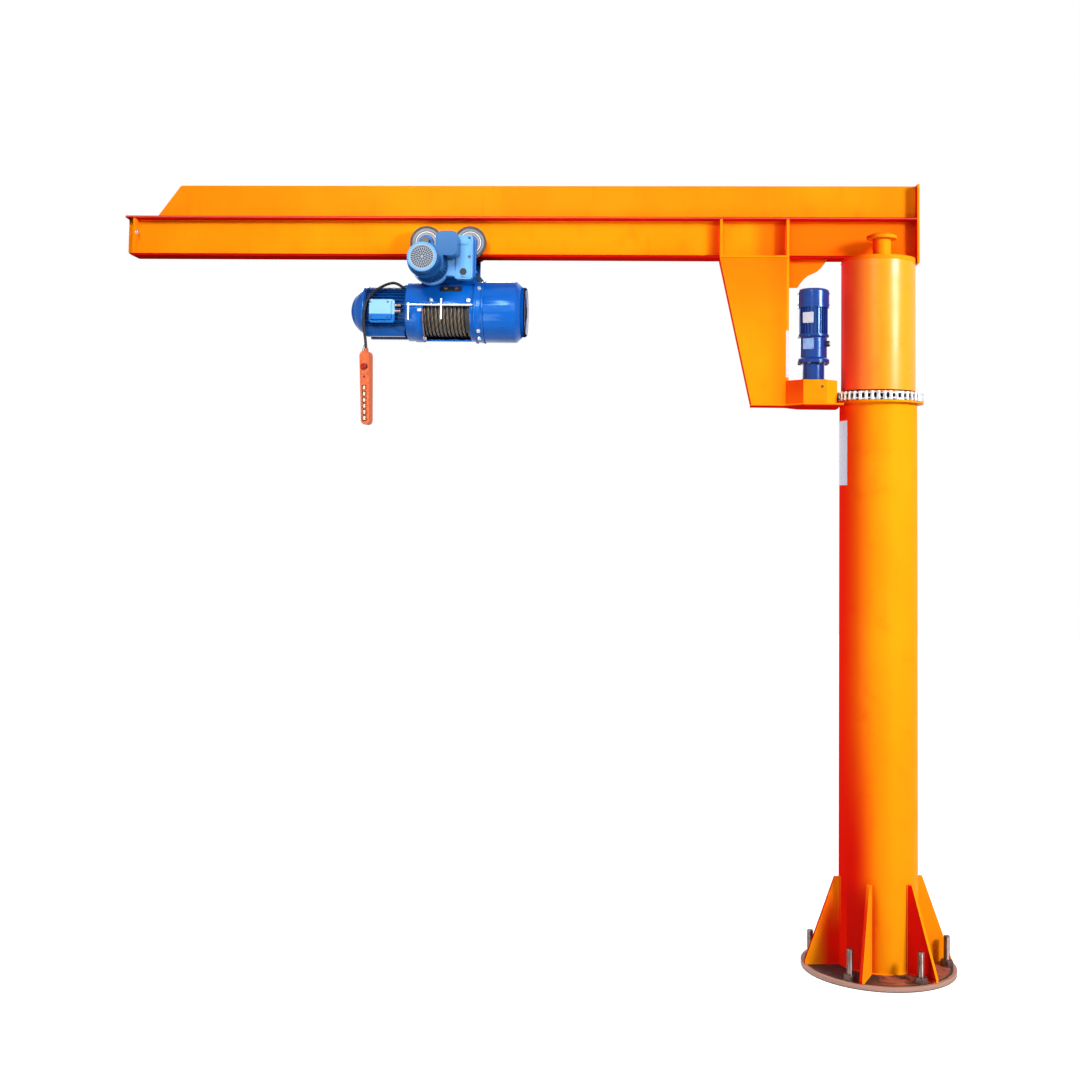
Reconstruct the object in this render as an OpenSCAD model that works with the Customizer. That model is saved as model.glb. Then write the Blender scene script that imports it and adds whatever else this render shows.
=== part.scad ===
// Pillar-mounted jib crane with a motor-driven slewing chain, an under-running
// trolley and a wire-rope hoist. Millimetres, +Z up, the jib reaches towards -X.
// The origin is the centre of the base plate's underside.

/* [Column] */
// Outer diameter of the standing column
column_d = 325; // [280:5:360]
// Wall of the column tube
column_wall = 8; // [5:1:14]
// Height of the column's closed top above the floor
column_top_z = 2395; // [1800:5:3200]
// Thickness of the plate that closes the column's top
column_top_t = 16; // [10:1:30]
// Diameter of the round base plate
base_d = 636; // [600:2:760]
// Thickness of the base plate
base_t = 20; // [12:1:40]
// Number of base gussets, and of anchor holes
gusset_count = 6; // [4:1:8]
// Height of a base gusset above the base plate
gusset_h = 354; // [200:2:500]
// Thickness of a base gusset
gusset_t = 14; // [8:1:20]
// Width of a base gusset at its top
gusset_top_w = 25; // [10:1:50]
// Height of the upright end of a base gusset at its foot
gusset_toe_h = 14; // [6:1:40]
// Gap between the gusset's foot and the base plate's rim
gusset_inset = 5; // [2:1:20]
// Turn of the first gusset from the front
gusset_angle = -21; // [-30:1:30]
// Distance from the rim of the base plate to the anchor circle
anchor_edge = 38; // [30:1:60]
// Diameter of an anchor hole
anchor_hole_d = 31; // [20:1:40]
// Turn of each anchor hole from its gusset
anchor_turn = -11; // [-20:1:-9]

/* [Slewing ring] */
// Pitch of the ring's roller chain
chain_pitch = 25.4; // [24:0.1:28]
// Gap between the column and the ring's link plates, at least
chain_gap = 4.5; // [3:0.5:8]
// Diameter of a chain roller
roller_d = 15.88; // [12:0.02:16.5]
// Diameter of a chain pin
chain_pin_d = 8.28; // [6:0.02:10]
// Inner width between the chain's inner plates
chain_inner_w = 17; // [15:0.5:20]
// Thickness of a chain link plate
link_t = 4; // [2.5:0.5:5]
// Height of a chain link plate across its round end
link_h = 22; // [20:0.5:24]
// Height of an outer link plate across its round end
outer_link_h = 19; // [16:0.5:19.5]
// Length of a chain pin beyond the outer plate
pin_head = 2.5; // [1:0.5:4]
// Thickness of the lip that the chain lies on
lip_t = 8; // [5:1:12]
// Number of teeth of the driving sprocket
sprocket_teeth = 24; // [22:1:26]
// Thickness of the sprocket's toothed disc
sprocket_t = 15; // [10:0.5:15]
// Height of a tooth beyond the pitch circle
tooth_h = 5.5; // [4:0.5:6]
// Play round a roller in its tooth gap
tooth_play = 0.8; // [0.6:0.1:1.2]
// Diameter of the sprocket's shaft
sprocket_shaft_d = 40; // [30:1:50]
// Diameter of the sprocket's hub
sprocket_hub_d = 76; // [60:1:100]
// Height of the sprocket's hub above its toothed disc
sprocket_hub_h = 12; // [6:1:14]
// Running gap between moving and standing pieces
run_gap = 6; // [5:1:10]
// Running clearance of a bearing
bearing_gap = 0.3; // [0.2:0.1:0.5]

/* [Jib] */
// Outer diameter of the turning sleeve
sleeve_d = 312; // [300:2:320]
// Wall of the turning sleeve
sleeve_wall = 8; // [6:1:12]
// Height of the sleeve with its cap
sleeve_h = 568; // [450:2:800]
// Thickness of the sleeve's cap
sleeve_cap_t = 16; // [10:1:25]
// Diameter of the spindle inside the sleeve
spindle_d = 140; // [100:2:200]
// Reach of the jib from the column's axis to its tip
jib_reach = 3292; // [2600:10:4200]
// Gap between the sleeve and the rear end plate
rear_gap = 1; // [0.5:0.5:40]
// Height of the jib's beam
beam_h = 176; // [160:2:220]
// Width of the beam's flanges
beam_w = 104; // [96:2:124]
// Thickness of the beam's web
web_t = 8; // [6:1:12]
// Thickness of the beam's flanges
flange_t = 10; // [8:1:14]
// Radius between the web and the flanges
beam_fillet = 9; // [4:1:12]
// Length that is cut off the beam's lower tip
tip_cut_l = 32; // [10:1:60]
// Height that is cut off the beam's lower tip
tip_cut_h = 22; // [12:1:40]
// Height of the stiffening plate on the beam
rib_h = 144; // [100:2:180]
// Thickness of the stiffening plate
rib_t = 12; // [8:1:20]
// Distance from the jib's tip to the stiffening plate's foot
rib_setback = 125; // [60:5:300]
// Length of the stiffening plate's slanted end
rib_slope = 105; // [60:5:200]
// Radius at the top of the slanted end
rib_corner_r = 14; // [5:1:30]
// Thickness of the rear end plate
rear_t = 10; // [8:1:30]
// Length that the rear end plate hangs below the beam
rear_drop = 20; // [10:1:40]
// Distance from the jib's tip to the trolley stop
stop_setback = 34; // [20:1:80]
// Thickness of the trolley stop
stop_t = 10; // [6:1:20]
// Diameter of the hole in the trolley stop
stop_hole_d = 14; // [8:1:20]
// Diameter of the round cap pin on the sleeve
cap_pin_d = 76; // [60:2:80]
// Diameter of the cap pin's head
cap_head_d = 126; // [100:2:130]
// Height of the cap pin's neck
cap_neck_h = 72; // [40:2:90]
// Height of the cap pin's head
cap_head_h = 30; // [16:1:40]
// Distance of the cap pin from the sleeve's axis
cap_pin_y = 98; // [96:1:104]

/* [Bracket] */
// Gap between the sprocket's teeth and the bracket's rear plate
bracket_gap = 6.3; // [5:0.1:40]
// Length of the bracket at its top
bracket_top_l = 296; // [250:2:400]
// Length of the bracket at its bottom
bracket_bottom_l = 158; // [140:2:240]
// Thickness of the bracket's side plates
side_t = 10; // [6:1:14]
// Thickness of the bracket's front and rear plates
cross_t = 12; // [8:1:16]
// Thickness of the bracket's bottom plate
bottom_t = 10; // [8:1:20]
// Width of the bottom plate beside the column
bottom_wide = 286; // [220:2:300]
// Thickness of the curved gusset
web_gusset_t = 10; // [6:1:14]
// Length of the curved gusset along the beam
web_gusset_l = 166; // [130:1:180]
// Gap between the slewing motor's cowl and the curved gusset
web_gusset_gap = 7; // [5:1:20]
// Width of the curved gusset at its foot
web_gusset_foot = 40; // [20:1:60]
// Height of the motor seat
seat_h = 100; // [90:1:130]
// Wall of the motor seat
seat_wall = 8; // [6:1:10]
// Thickness of the motor seat's top
seat_top_t = 12; // [8:1:20]
// Distance of the seat's centre beyond the motor's axis
seat_offset = 4; // [0:1:6]

/* [Slewing drive] */
// Diameter of the gearbox neck
neck_d = 94; // [80:1:110]
// Height of the gearbox neck
neck_h = 80; // [50:1:110]
// Diameter of the gearbox
drive_gear_d = 124; // [110:1:134]
// Height of the gearbox
drive_gear_h = 122; // [80:1:150]
// Diameter of the slewing motor
drive_motor_d = 122; // [110:1:132]
// Height of the slewing motor's body
drive_motor_h = 123; // [90:1:160]
// Diameter of the slewing motor's fan cowl
drive_cowl_d = 134; // [120:1:136]
// Height of the slewing motor's fan cowl
drive_cowl_h = 74; // [50:1:78]
// Radius of a fan cowl's edge
cowl_edge_r = 14; // [6:1:20]
// Wall of a fan cowl
cowl_wall = 2.5; // [1.5:0.5:5]
// Diameter of a hole in a fan cowl's grille
grille_hole_d = 8; // [5:0.5:9]
// Pitch of the grille's rings of holes
grille_pitch = 12; // [10:0.5:14]
// Number of rings of holes in a grille
grille_rings = 3; // [2:1:3]

/* [Trolley] */
// Place of the trolley's middle, from the column's axis
trolley_x = 1853; // [1600:1:2400]
// Distance between the wheel axles
wheel_base = 190; // [160:2:220]
// Diameter of a wheel's tread
tread_d = 96; // [80:2:120]
// Diameter of a wheel's rim
rim_d = 142; // [120:2:150]
// Width of a wheel's rim
rim_w = 12; // [8:1:16]
// Depth of the turned recess in a wheel's face
rim_recess = 4; // [2:0.5:6]
// Width of the raised edge round a wheel's face
rim_edge_w = 10; // [6:1:16]
// Gap between a wheel's tread and the web's fillet
tread_gap = 6; // [5:1:10]
// Diameter of an axle
axle_d = 30; // [20:1:40]
// Thickness of a trolley side plate
trolley_plate_t = 10; // [8:1:16]
// Gap between a wheel and the side plate
wheel_side_gap = 5; // [3:1:8]
// Radius of a side plate round its axle
axle_boss_r = 30; // [24:1:40]
// Gap between the drum housing and the trolley's side plates
hanger_gap = 12; // [8:1:20]
// Height of the hanger's cross bars
hanger_bar_h = 45; // [30:1:60]
// Width of the hanger's saddle
saddle_w = 116; // [90:2:140]
// Length of the saddle beyond the inner axle
saddle_end = 34; // [20:1:60]
// Thickness of the saddle's cheek plates
cheek_t = 10; // [6:1:16]
// Depth of the travel motor's axis below the beam
travel_drop = 55; // [50:1:90]
// Distance of the travel motor's axis from the outer axle
travel_shift = 30; // [10:1:40]
// Diameter of the travel motor
travel_motor_d = 148; // [130:2:150]
// Length of the travel motor's body
travel_motor_l = 150; // [120:2:200]
// Depth of the travel gearbox
travel_gear_w = 46; // [30:1:60]
// Width of the travel gearbox's upright case
travel_case_w = 76; // [60:2:110]
// Height of the travel gearbox's upright case
travel_case_h = 190; // [170:2:200]
// Distance of the case's foot below the travel motor's axis
travel_case_drop = 56; // [20:1:60]
// Radius of the travel gearbox's corners
travel_case_r = 14; // [6:1:24]
// Depth of the travel gearbox's cover plate
travel_cover_t = 5; // [3:1:8]
// Width of the terminal block on the travel motor
block_w = 92; // [70:2:110]
// Height of the terminal block
block_h = 104; // [80:2:120]
// Length of the terminal block along the motor
block_l = 92; // [60:2:110]
// Radius of the terminal block's corners
block_r = 24; // [8:1:36]
// Diameter of the travel motor's fan cowl
travel_cowl_d = 128; // [120:2:140]
// Length of the travel motor's fan cowl
travel_cowl_l = 80; // [60:2:100]

/* [Hoist] */
// Height of the hoist's axis below the beam
hoist_drop = 237; // [230:1:300]
// Diameter of the hoist gearbox and its flange
hoist_d = 266; // [256:2:290]
// Diameter of the drum housing
housing_d = 258; // [250:2:264]
// Wall of the drum housing
housing_wall = 7; // [5:1:10]
// Length of the drum housing
housing_l = 295; // [260:5:360]
// Distance from the trolley's middle to the housing's outer end
housing_offset = 172; // [120:1:180]
// Diameter of the rope drum
drum_d = 198; // [170:2:210]
// Diameter of the wire rope
rope_d = 13; // [9:0.5:16]
// Pitch of the rope's turns
rope_pitch = 16.5; // [16:0.5:20]
// Depth of the rope's groove in the drum
groove_h = 2; // [1:0.5:4]
// Diameter of the drum's shaft
drum_shaft_d = 60; // [40:1:80]
// Thickness of a drum flange
drum_flange_t = 10; // [6:1:14]
// Thickness of the housing's end walls
end_wall = 14; // [8:1:20]
// Distance from the housing's outer end to the rope window
window_x = 76; // [50:1:90]
// Distance from the rope window to the housing's inner end
window_end = 18; // [16:1:60]
// Height of the rope window's upper edge above the hoist's axis
window_top = 8; // [0:1:50]
// Diameter of the rods at the rope window
guide_d = 10; // [6:1:14]
// Distance from the housing's outer end to the rope guide's band
band_x = 32; // [20:1:40]
// Width of the rope guide's band
band_w = 36; // [20:1:40]
// Height of the band above the housing
band_h = 4; // [2:0.5:6]
// Diameter of the cable gland
gland_d = 20; // [16:1:24]
// Length of the cable gland
gland_l = 12; // [8:1:12]
// Length of the hoist gearbox
gear_l = 158; // [120:2:200]
// Length of the flange between the housing and the gearbox
gear_flange_l = 39; // [20:1:50]
// Height of the two ridges on that flange
flange_ridge_h = 4; // [2:0.5:8]
// Width of the two ridges on that flange
flange_ridge_w = 7; // [4:1:12]
// Length of the gearbox's chamfered end
gear_chamfer_l = 22; // [10:1:40]
// Depth of the gearbox's chamfered end
gear_chamfer_h = 22; // [10:1:40]
// Length of the gearbox's end cap
gear_cap_l = 20; // [10:1:40]
// Diameter of the hoist motor
motor_d = 210; // [180:2:220]
// Length of the hoist motor's body
motor_l = 186; // [150:2:240]
// Length of the hoist motor's domed cowl
dome_l = 71; // [50:1:100]
// Width of the bands on the motor and on its domed cowl
motor_band_w = 9; // [5:1:14]
// Height of the bands above the motor's case
motor_band_h = 2; // [1:0.5:4]
// Distance of the feet's underside below the hoist's axis
foot_drop = 116; // [112:1:124]
// Width of a foot of the hoist motor
foot_w = 34; // [20:1:50]
// Distance between the middles of the two feet
foot_pitch = 110; // [90:2:130]

/* [Pendant] */
// Width of the pendant
pendant_w = 44; // [36:1:60]
// Height of the pendant
pendant_h = 316; // [250:2:400]
// Depth of the pendant
pendant_t = 46; // [36:1:60]
// Width of the pendant at its foot
pendant_foot_w = 36; // [30:1:50]
// Lean of the pendant from upright
pendant_lean = 2; // [0:0.5:4]
// Turn of the pendant on its cable, seen from above
pendant_turn = -10; // [-20:1:20]
// Diameter of the control cable
cable_d = 12; // [10:0.5:14]

/* [Hidden] */
$fn = 64;

// Slewing ring
ring_rollers = 2 * ceil(90 / asin(chain_pitch / (column_d + link_h + 2 * chain_gap)));
ring_r = chain_pitch / (2 * sin(180 / ring_rollers));
sprocket_r = ring_r * sprocket_teeth / ring_rollers;
drive_x = -(ring_r + sprocket_r);
chain_h = chain_inner_w + 4 * link_t + 2 * pin_head;
chain_mid_z = column_top_z - chain_h / 2 - 2;
lip_z = chain_mid_z - chain_h / 2 - lip_t;
lip_r = ring_r + link_h / 2;

// Jib
jib_rear = sleeve_d / 2 + rear_gap;
sleeve_z = column_top_z + run_gap;
beam_z = sleeve_z + sleeve_h;
beam_top_z = beam_z + beam_h;
cap_z = beam_z - sleeve_cap_t;
half_w = beam_w / 2;

// Bracket and drive
bottom_top_z = lip_z - run_gap;
tip_r = sprocket_r + tooth_h;
bracket_rear_x = tip_r + bracket_gap - drive_x;
bracket_x = -bracket_rear_x - cross_t;
bracket_top_x = -bracket_rear_x - bracket_top_l;
bracket_foot_x = -bracket_rear_x - bracket_bottom_l;
seat_x = drive_x - seat_offset;
seat_w = 2 * (tip_r + seat_offset * cos(45) + run_gap + seat_wall);
seat_z = bottom_top_z;
seat_top_z = seat_z + seat_h;
gear_z = seat_top_z + neck_h;
motor_z = gear_z + drive_gear_h;
cowl_z = motor_z + drive_motor_h;
web_gusset_h = beam_z - cowl_z - drive_cowl_h - web_gusset_gap;

// Trolley
axle_z = beam_z + flange_t + tread_d / 2;
rim_y = half_w + run_gap;
plate_y = rim_y + rim_w + wheel_side_gap;
tread_y = web_t / 2 + beam_fillet + tread_gap;
outer_x = -trolley_x - wheel_base / 2;
inner_x = -trolley_x + wheel_base / 2;
hoist_z = beam_z - hoist_drop;
housing_r = housing_d / 2;
hanger_z = hoist_z + housing_r + hanger_gap;
travel_x = outer_x + travel_shift;
travel_z = beam_z - travel_drop;
travel_y = plate_y + trolley_plate_t;
travel_end_y = travel_y + travel_gear_w;

// Hoist, from left to right
housing_x = -trolley_x - housing_offset;
window_l = housing_l - window_x - window_end;
gear_flange_x = housing_x + housing_l;
gear_x = gear_flange_x + gear_flange_l;
gear_end_x = gear_x + gear_l;
gland_y = -58;
gland_z = hoist_z + 100;
rope_r = (drum_d + rope_d) / 2 - groove_h;

color_body = "orange";
color_hoist = "dodgerblue";

// ---------------------------------------------------------------- helpers

// Extrudes a profile of Y and Z along X, from x0 over a length.
module along_x(x0, length) {
    translate([x0, 0, 0]) rotate([90, 0, 90]) linear_extrude(length) children();
}

// Extrudes a profile of X and Z towards +Y, from y0 over a length.
module along_y(y0, length) {
    translate([0, y0 + length, 0]) rotate([90, 0, 0]) linear_extrude(length) children();
}

// A cylinder along X whose left end is at x0.
module rod_x(x0, length, d) {
    translate([x0, 0, 0]) rotate([0, 90, 0]) cylinder(d = d, h = length);
}

// A cylinder along Y whose low end is at y0.
module rod_y(y0, length, d) {
    translate([0, y0, 0]) rotate([-90, 0, 0]) cylinder(d = d, h = length);
}

// The same piece on the near and on the far side.
module both_sides() {
    children();
    mirror([0, 1, 0]) children();
}

// ---------------------------------------------------------------- column

module base_plate() color(color_body)
    difference() {
        cylinder(d = base_d, h = base_t, $fn = 128);
        for (i = [0:gusset_count - 1])
            rotate(gusset_angle + anchor_turn + i * 360 / gusset_count)
                translate([0, -base_d / 2 + anchor_edge, -1])
                    cylinder(d = anchor_hole_d, h = base_t + 2);
    }

module base_gussets() color(color_body)
    for (i = [0:gusset_count - 1])
        rotate(gusset_angle - 90 + i * 360 / gusset_count)
            base_gusset();

// One gusset on the column's +X side. Its inner edge follows the round tube.
module base_gusset() {
    foot = base_d / 2 - gusset_inset;
    inner = column_d / 2;
    difference() {
        along_y(-gusset_t / 2, gusset_t)
            polygon([[inner - 4, base_t], [foot, base_t], [foot, base_t + gusset_toe_h],
                [inner + gusset_top_w, base_t + gusset_h], [inner - 4, base_t + gusset_h]]);
        translate([0, 0, base_t - 1]) cylinder(d = column_d, h = gusset_h + 2, $fn = 128);
    }
}

module column_tube() color(color_body)
    translate([0, 0, base_t])
        difference() {
            cylinder(d = column_d, h = column_top_z - column_top_t - base_t, $fn = 128);
            translate([0, 0, -1])
                cylinder(d = column_d - 2 * column_wall, h = column_top_z, $fn = 128);
        }

module column_top() color(color_body)
    translate([0, 0, column_top_z - column_top_t])
        cylinder(d = column_d, h = column_top_t, $fn = 128);

// The fixed spindle with its flange and two bearing collars.
module spindle() color("silver") {
    flange_r = spindle_d / 2 + 40;
    flange_h = 18;
    collar_r = sleeve_d / 2 - sleeve_wall - bearing_gap;
    collar_h = 45;
    low = column_top_z + 40;
    top = cap_z - bearing_gap;
    high = top - 30;
    rotate_extrude($fn = 96)
        polygon([[0, column_top_z], [flange_r, column_top_z],
            [flange_r, column_top_z + flange_h], [spindle_d / 2, column_top_z + flange_h],
            [spindle_d / 2, low], [collar_r, low], [collar_r, low + collar_h],
            [spindle_d / 2, low + collar_h], [spindle_d / 2, high - collar_h],
            [collar_r, high - collar_h], [collar_r, high], [spindle_d / 2, high],
            [spindle_d / 2, top], [0, top]]);
}

module chain_lip() color(color_body)
    translate([0, 0, lip_z])
        difference() {
            cylinder(r = lip_r, h = lip_t, $fn = 128);
            translate([0, 0, -1]) cylinder(d = column_d, h = lip_t + 2, $fn = 128);
        }

// One link plate from the pin at angle 0 to the next pin.
module link_plate(z, height) {
    step = 360 / ring_rollers;
    translate([0, 0, z]) linear_extrude(link_t) {
        for (a = [0, step]) rotate(a) translate([ring_r, 0]) circle(d = height, $fn = 32);
        rotate(step / 2) translate([ring_r * cos(step / 2), 0])
            square([height * 0.72, chain_pitch], center = true);
    }
}

// The roller chain that is laid round the column: rollers, pins and two layers
// of link plates above and below them.
module slew_chain() color("silver") {
    step = 360 / ring_rollers;
    inner_z = chain_mid_z + chain_inner_w / 2;
    for (i = [0:ring_rollers - 1]) rotate(i * step) {
        translate([ring_r, 0, chain_mid_z - chain_inner_w / 2])
            cylinder(d = roller_d, h = chain_inner_w, $fn = 24);
        translate([ring_r, 0, chain_mid_z - chain_h / 2])
            cylinder(d = chain_pin_d, h = chain_h, $fn = 16);
    }
    for (i = [0:2:ring_rollers - 1]) rotate(i * step) {
        link_plate(inner_z, link_h);
        link_plate(chain_mid_z - chain_inner_w / 2 - link_t, link_h);
    }
    for (i = [1:2:ring_rollers - 1]) rotate(i * step) {
        link_plate(inner_z + link_t, outer_link_h);
        link_plate(chain_mid_z - chain_inner_w / 2 - 2 * link_t, outer_link_h);
    }
}

// ---------------------------------------------------------------- jib

module sleeve() color(color_body)
    translate([0, 0, sleeve_z])
        difference() {
            cylinder(d = sleeve_d, h = sleeve_h - sleeve_cap_t, $fn = 128);
            translate([0, 0, -1])
                cylinder(d = sleeve_d - 2 * sleeve_wall, h = sleeve_h, $fn = 128);
        }

module sleeve_cap() color(color_body)
    translate([0, 0, cap_z]) cylinder(d = sleeve_d, h = sleeve_cap_t, $fn = 128);

// A stout round pin with a domed head beside the beam's web.
module cap_pin() color(color_body)
    translate([0, -cap_pin_y, beam_z])
        rotate_extrude($fn = 64) {
            square([cap_pin_d / 2, cap_neck_h]);
            translate([0, cap_neck_h]) cap_head_profile();
        }

// A disc edge with a flat dome above it.
module cap_head_profile() {
    edge = cap_head_h * 0.4;
    rise = cap_head_h - edge;
    dome_r = (pow(cap_head_d / 2, 2) + rise * rise) / (2 * rise);
    square([cap_head_d / 2, edge]);
    intersection() {
        translate([0, edge]) square([cap_head_d / 2, rise]);
        translate([0, cap_head_h - dome_r]) circle(r = dome_r, $fn = 256);
    }
}

// The beam's section: web, flanges and the fillets between them.
module beam_profile() {
    translate([-web_t / 2, beam_z]) square([web_t, beam_h]);
    for (z = [beam_z, beam_top_z - flange_t]) translate([-half_w, z]) square([beam_w, flange_t]);
    for (sx = [-1, 1], sz = [-1, 1])
        translate([sx * web_t / 2, beam_z + beam_h / 2 + sz * (beam_h / 2 - flange_t)])
            scale([sx, -sz]) difference() {
                translate([-0.5, -0.5]) square(beam_fillet + 0.5);
                translate([beam_fillet, beam_fillet]) circle(r = beam_fillet, $fn = 32);
            }
}

module jib_beam() color(color_body)
    difference() {
        along_x(-jib_reach, jib_reach + jib_rear) beam_profile();
        along_y(-half_w - 1, beam_w + 2)
            polygon([[-jib_reach - 1, beam_z - 1], [-jib_reach + tip_cut_l, beam_z - 1],
                [-jib_reach + tip_cut_l, beam_z], [-jib_reach, beam_z + tip_cut_h],
                [-jib_reach - 1, beam_z + tip_cut_h]]);
    }

// The upright plate on the beam, with a slanted and rounded outer end.
module jib_rib() color(color_body) {
    foot_x = -jib_reach + rib_setback;
    along_y(-rib_t / 2, rib_t)
        translate([0, beam_top_z]) difference() {
            polygon([[foot_x, 0], [jib_rear, 0], [jib_rear, rib_h],
                [foot_x + rib_slope, rib_h]]);
            rib_corner(foot_x + rib_slope);
        }
}

// What is taken off the corner between the slanted end and the top edge.
module rib_corner(x) {
    slope = atan2(rib_h, rib_slope);
    cut = rib_corner_r * tan(slope / 2);
    difference() {
        polygon([[x - cut * cos(slope) - 0.01, rib_h - cut * sin(slope)], [x, rib_h + 1],
            [x + cut, rib_h + 1], [x + cut, rib_h]]);
        translate([x + cut, rib_h - rib_corner_r]) circle(r = rib_corner_r, $fn = 64);
    }
}

module rear_plate() color(color_body)
    translate([jib_rear, -half_w, beam_z - rear_drop])
        cube([rear_t, beam_w, rear_drop + beam_h + rib_h]);

// A plate between the flanges on the near side, clear of the web's fillets.
module web_plate() {
    snipe = beam_fillet + 3;
    low = beam_z + flange_t;
    high = beam_top_z - flange_t;
    polygon([[-half_w, low], [-web_t / 2 - snipe, low], [-web_t / 2, low + snipe],
        [-web_t / 2, high - snipe], [-web_t / 2 - snipe, high], [-half_w, high]]);
}

module trolley_stops() color(color_body)
    both_sides() difference() {
        along_x(-jib_reach + stop_setback, stop_t) web_plate();
        translate([-jib_reach + stop_setback - 1, -half_w * 0.6, beam_z + beam_h * 0.6])
            rod_x(0, stop_t + 2, stop_hole_d);
    }

module web_stiffeners() color(color_body)
    both_sides() for (x = [bracket_top_x, bracket_x]) along_x(x, cross_t) web_plate();

// ---------------------------------------------------------------- bracket

module bracket_sides() color(color_body)
    both_sides() along_y(-half_w, side_t)
        polygon([[bracket_top_x, beam_z], [bracket_x, beam_z],
            [bracket_x, bottom_top_z], [bracket_foot_x, bottom_top_z]]);

// The slanted plate that closes the bracket between its sides.
module bracket_front() color(color_body)
    along_y(-half_w + side_t, beam_w - 2 * side_t)
        polygon([[bracket_top_x, beam_z], [bracket_top_x + cross_t, beam_z],
            [bracket_foot_x + cross_t, bottom_top_z], [bracket_foot_x, bottom_top_z]]);

module bracket_rear() color(color_body)
    translate([bracket_x, -half_w, bottom_top_z])
        cube([cross_t, beam_w, beam_z - bottom_top_z]);

// The gusset above the motor. Its free edge climbs in an S from the foot to the beam.
module curved_gusset() color(color_body) {
    x0 = -bracket_rear_x;
    run = web_gusset_l - web_gusset_foot;
    steps = 24;
    along_y(-web_gusset_t / 2, web_gusset_t)
        polygon([[x0, beam_z], [x0, beam_z - web_gusset_h],
            for (i = [0:steps]) let (t = i / steps)
                [x0 + web_gusset_foot + run * t,
                    beam_z - web_gusset_h * (1 - t - 0.09 * sin(360 * t))]]);
}

// The bottom plate: narrow under the bracket's tip, wide beside the column.
module bracket_bottom() color(color_body)
    translate([0, 0, bottom_top_z - bottom_t])
        difference() {
            linear_extrude(bottom_t)
                polygon([[bracket_foot_x, -half_w],
                    [bracket_x, -half_w], [seat_x - seat_w * 0.2, -bottom_wide / 2],
                    [-column_d / 2, -bottom_wide / 2], [-column_d / 2, bottom_wide / 2],
                    [seat_x - seat_w * 0.2, bottom_wide / 2], [bracket_x, half_w],
                    [bracket_foot_x, half_w]]);
            translate([0, 0, -1])
                cylinder(r = column_d / 2 + run_gap, h = bottom_t + 2, $fn = 128);
        }

// The eight-sided box that carries the motor and covers the sprocket. It is
// open to the chain ring and fits round the bracket's rear end.
module motor_seat() color(color_body)
    difference() {
        translate([seat_x, 0, seat_z]) rotate(22.5)
            cylinder(r = seat_w / 2 / cos(22.5), h = seat_h, $fn = 8);
        translate([seat_x, 0, seat_z - 1]) rotate(22.5)
            cylinder(r = (seat_w / 2 - seat_wall) / cos(22.5), h = seat_h - seat_top_t + 1, $fn = 8);
        translate([-2 * bracket_rear_x, -half_w, seat_z - 1])
            cube([bracket_rear_x, beam_w, seat_h + 2]);
        translate([0, 0, seat_z - 1]) cylinder(r = lip_r + run_gap, h = seat_h + 2, $fn = 128);
        translate([drive_x, 0, seat_z]) cylinder(d = sprocket_shaft_d + 2 * run_gap, h = seat_h + 1);
    }

// The slewing gearbox: a neck with its foot, and a case between two flanges.
module drive_gearbox() color("mediumblue") {
    neck_r = neck_d / 2;
    case_r = drive_gear_d / 2;
    foot_h = 9;
    low_h = 14;
    high_h = 8;
    translate([drive_x, 0, 0]) rotate_extrude($fn = 96)
        polygon([[0, seat_top_z], [neck_r + 8, seat_top_z], [neck_r + 8, seat_top_z + foot_h],
            [neck_r, seat_top_z + foot_h], [neck_r, gear_z - 6], [neck_r + 6, gear_z],
            [case_r + 6, gear_z], [case_r + 6, gear_z + low_h], [case_r - 4, gear_z + low_h + 8],
            [case_r - 4, motor_z - high_h - 8], [case_r + 4, motor_z - high_h],
            [case_r + 4, motor_z], [0, motor_z]]);
}

// Finned motor body as a section: a round core with fins round it.
module finned_section(core_r, outer_r, fins, fin_t) {
    circle(r = core_r, $fn = 96);
    for (i = [0:fins - 1]) rotate(i * 360 / fins)
        translate([0, -fin_t / 2]) square([outer_r, fin_t]);
}

// The slewing motor: a finned body with an end shield that carries the fan cowl.
module drive_motor() color("mediumblue") {
    shield = 8;
    translate([drive_x, 0, motor_z]) {
        linear_extrude(drive_motor_h)
            finned_section(drive_motor_d / 2 - 6, drive_motor_d / 2, 28, 3.2);
        translate([0, 0, drive_motor_h - shield]) cylinder(d = drive_cowl_d, h = shield, $fn = 96);
    }
}

// Half the section of a fan cowl: a round edge between its side and its end.
module cowl_half(r, length, edge) {
    square([r, length - edge]);
    square([r - edge, length]);
    translate([r - edge, length - edge]) circle(r = edge, $fn = 48);
}

// A fan cowl that stands on z = 0. It is a thin shell with two ridges round its
// side and rings of holes in its end, six more holes in each ring.
module fan_cowl(d, length) {
    ridge_h = 2;
    ridge_w = 4;
    inner_r = d / 2 - cowl_wall;
    difference() {
        rotate_extrude($fn = 96) {
            cowl_half(d / 2, length, cowl_edge_r);
            for (z = [ridge_w, length - cowl_edge_r - 2 * ridge_w])
                translate([0, z]) square([d / 2 + ridge_h, ridge_w]);
        }
        translate([0, 0, -1]) rotate_extrude($fn = 96)
            cowl_half(inner_r, length - cowl_wall + 1, cowl_edge_r - cowl_wall);
        for (ring = [1:grille_rings], i = [0:6 * ring - 1]) rotate(i * 60 / ring)
            translate([ring * grille_pitch, 0, length - cowl_wall - 2])
                cylinder(d = grille_hole_d, h = cowl_wall + 4, $fn = 24);
    }
}

module drive_cowl() color("mediumblue")
    translate([drive_x, 0, cowl_z]) fan_cowl(drive_cowl_d, drive_cowl_h);

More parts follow.
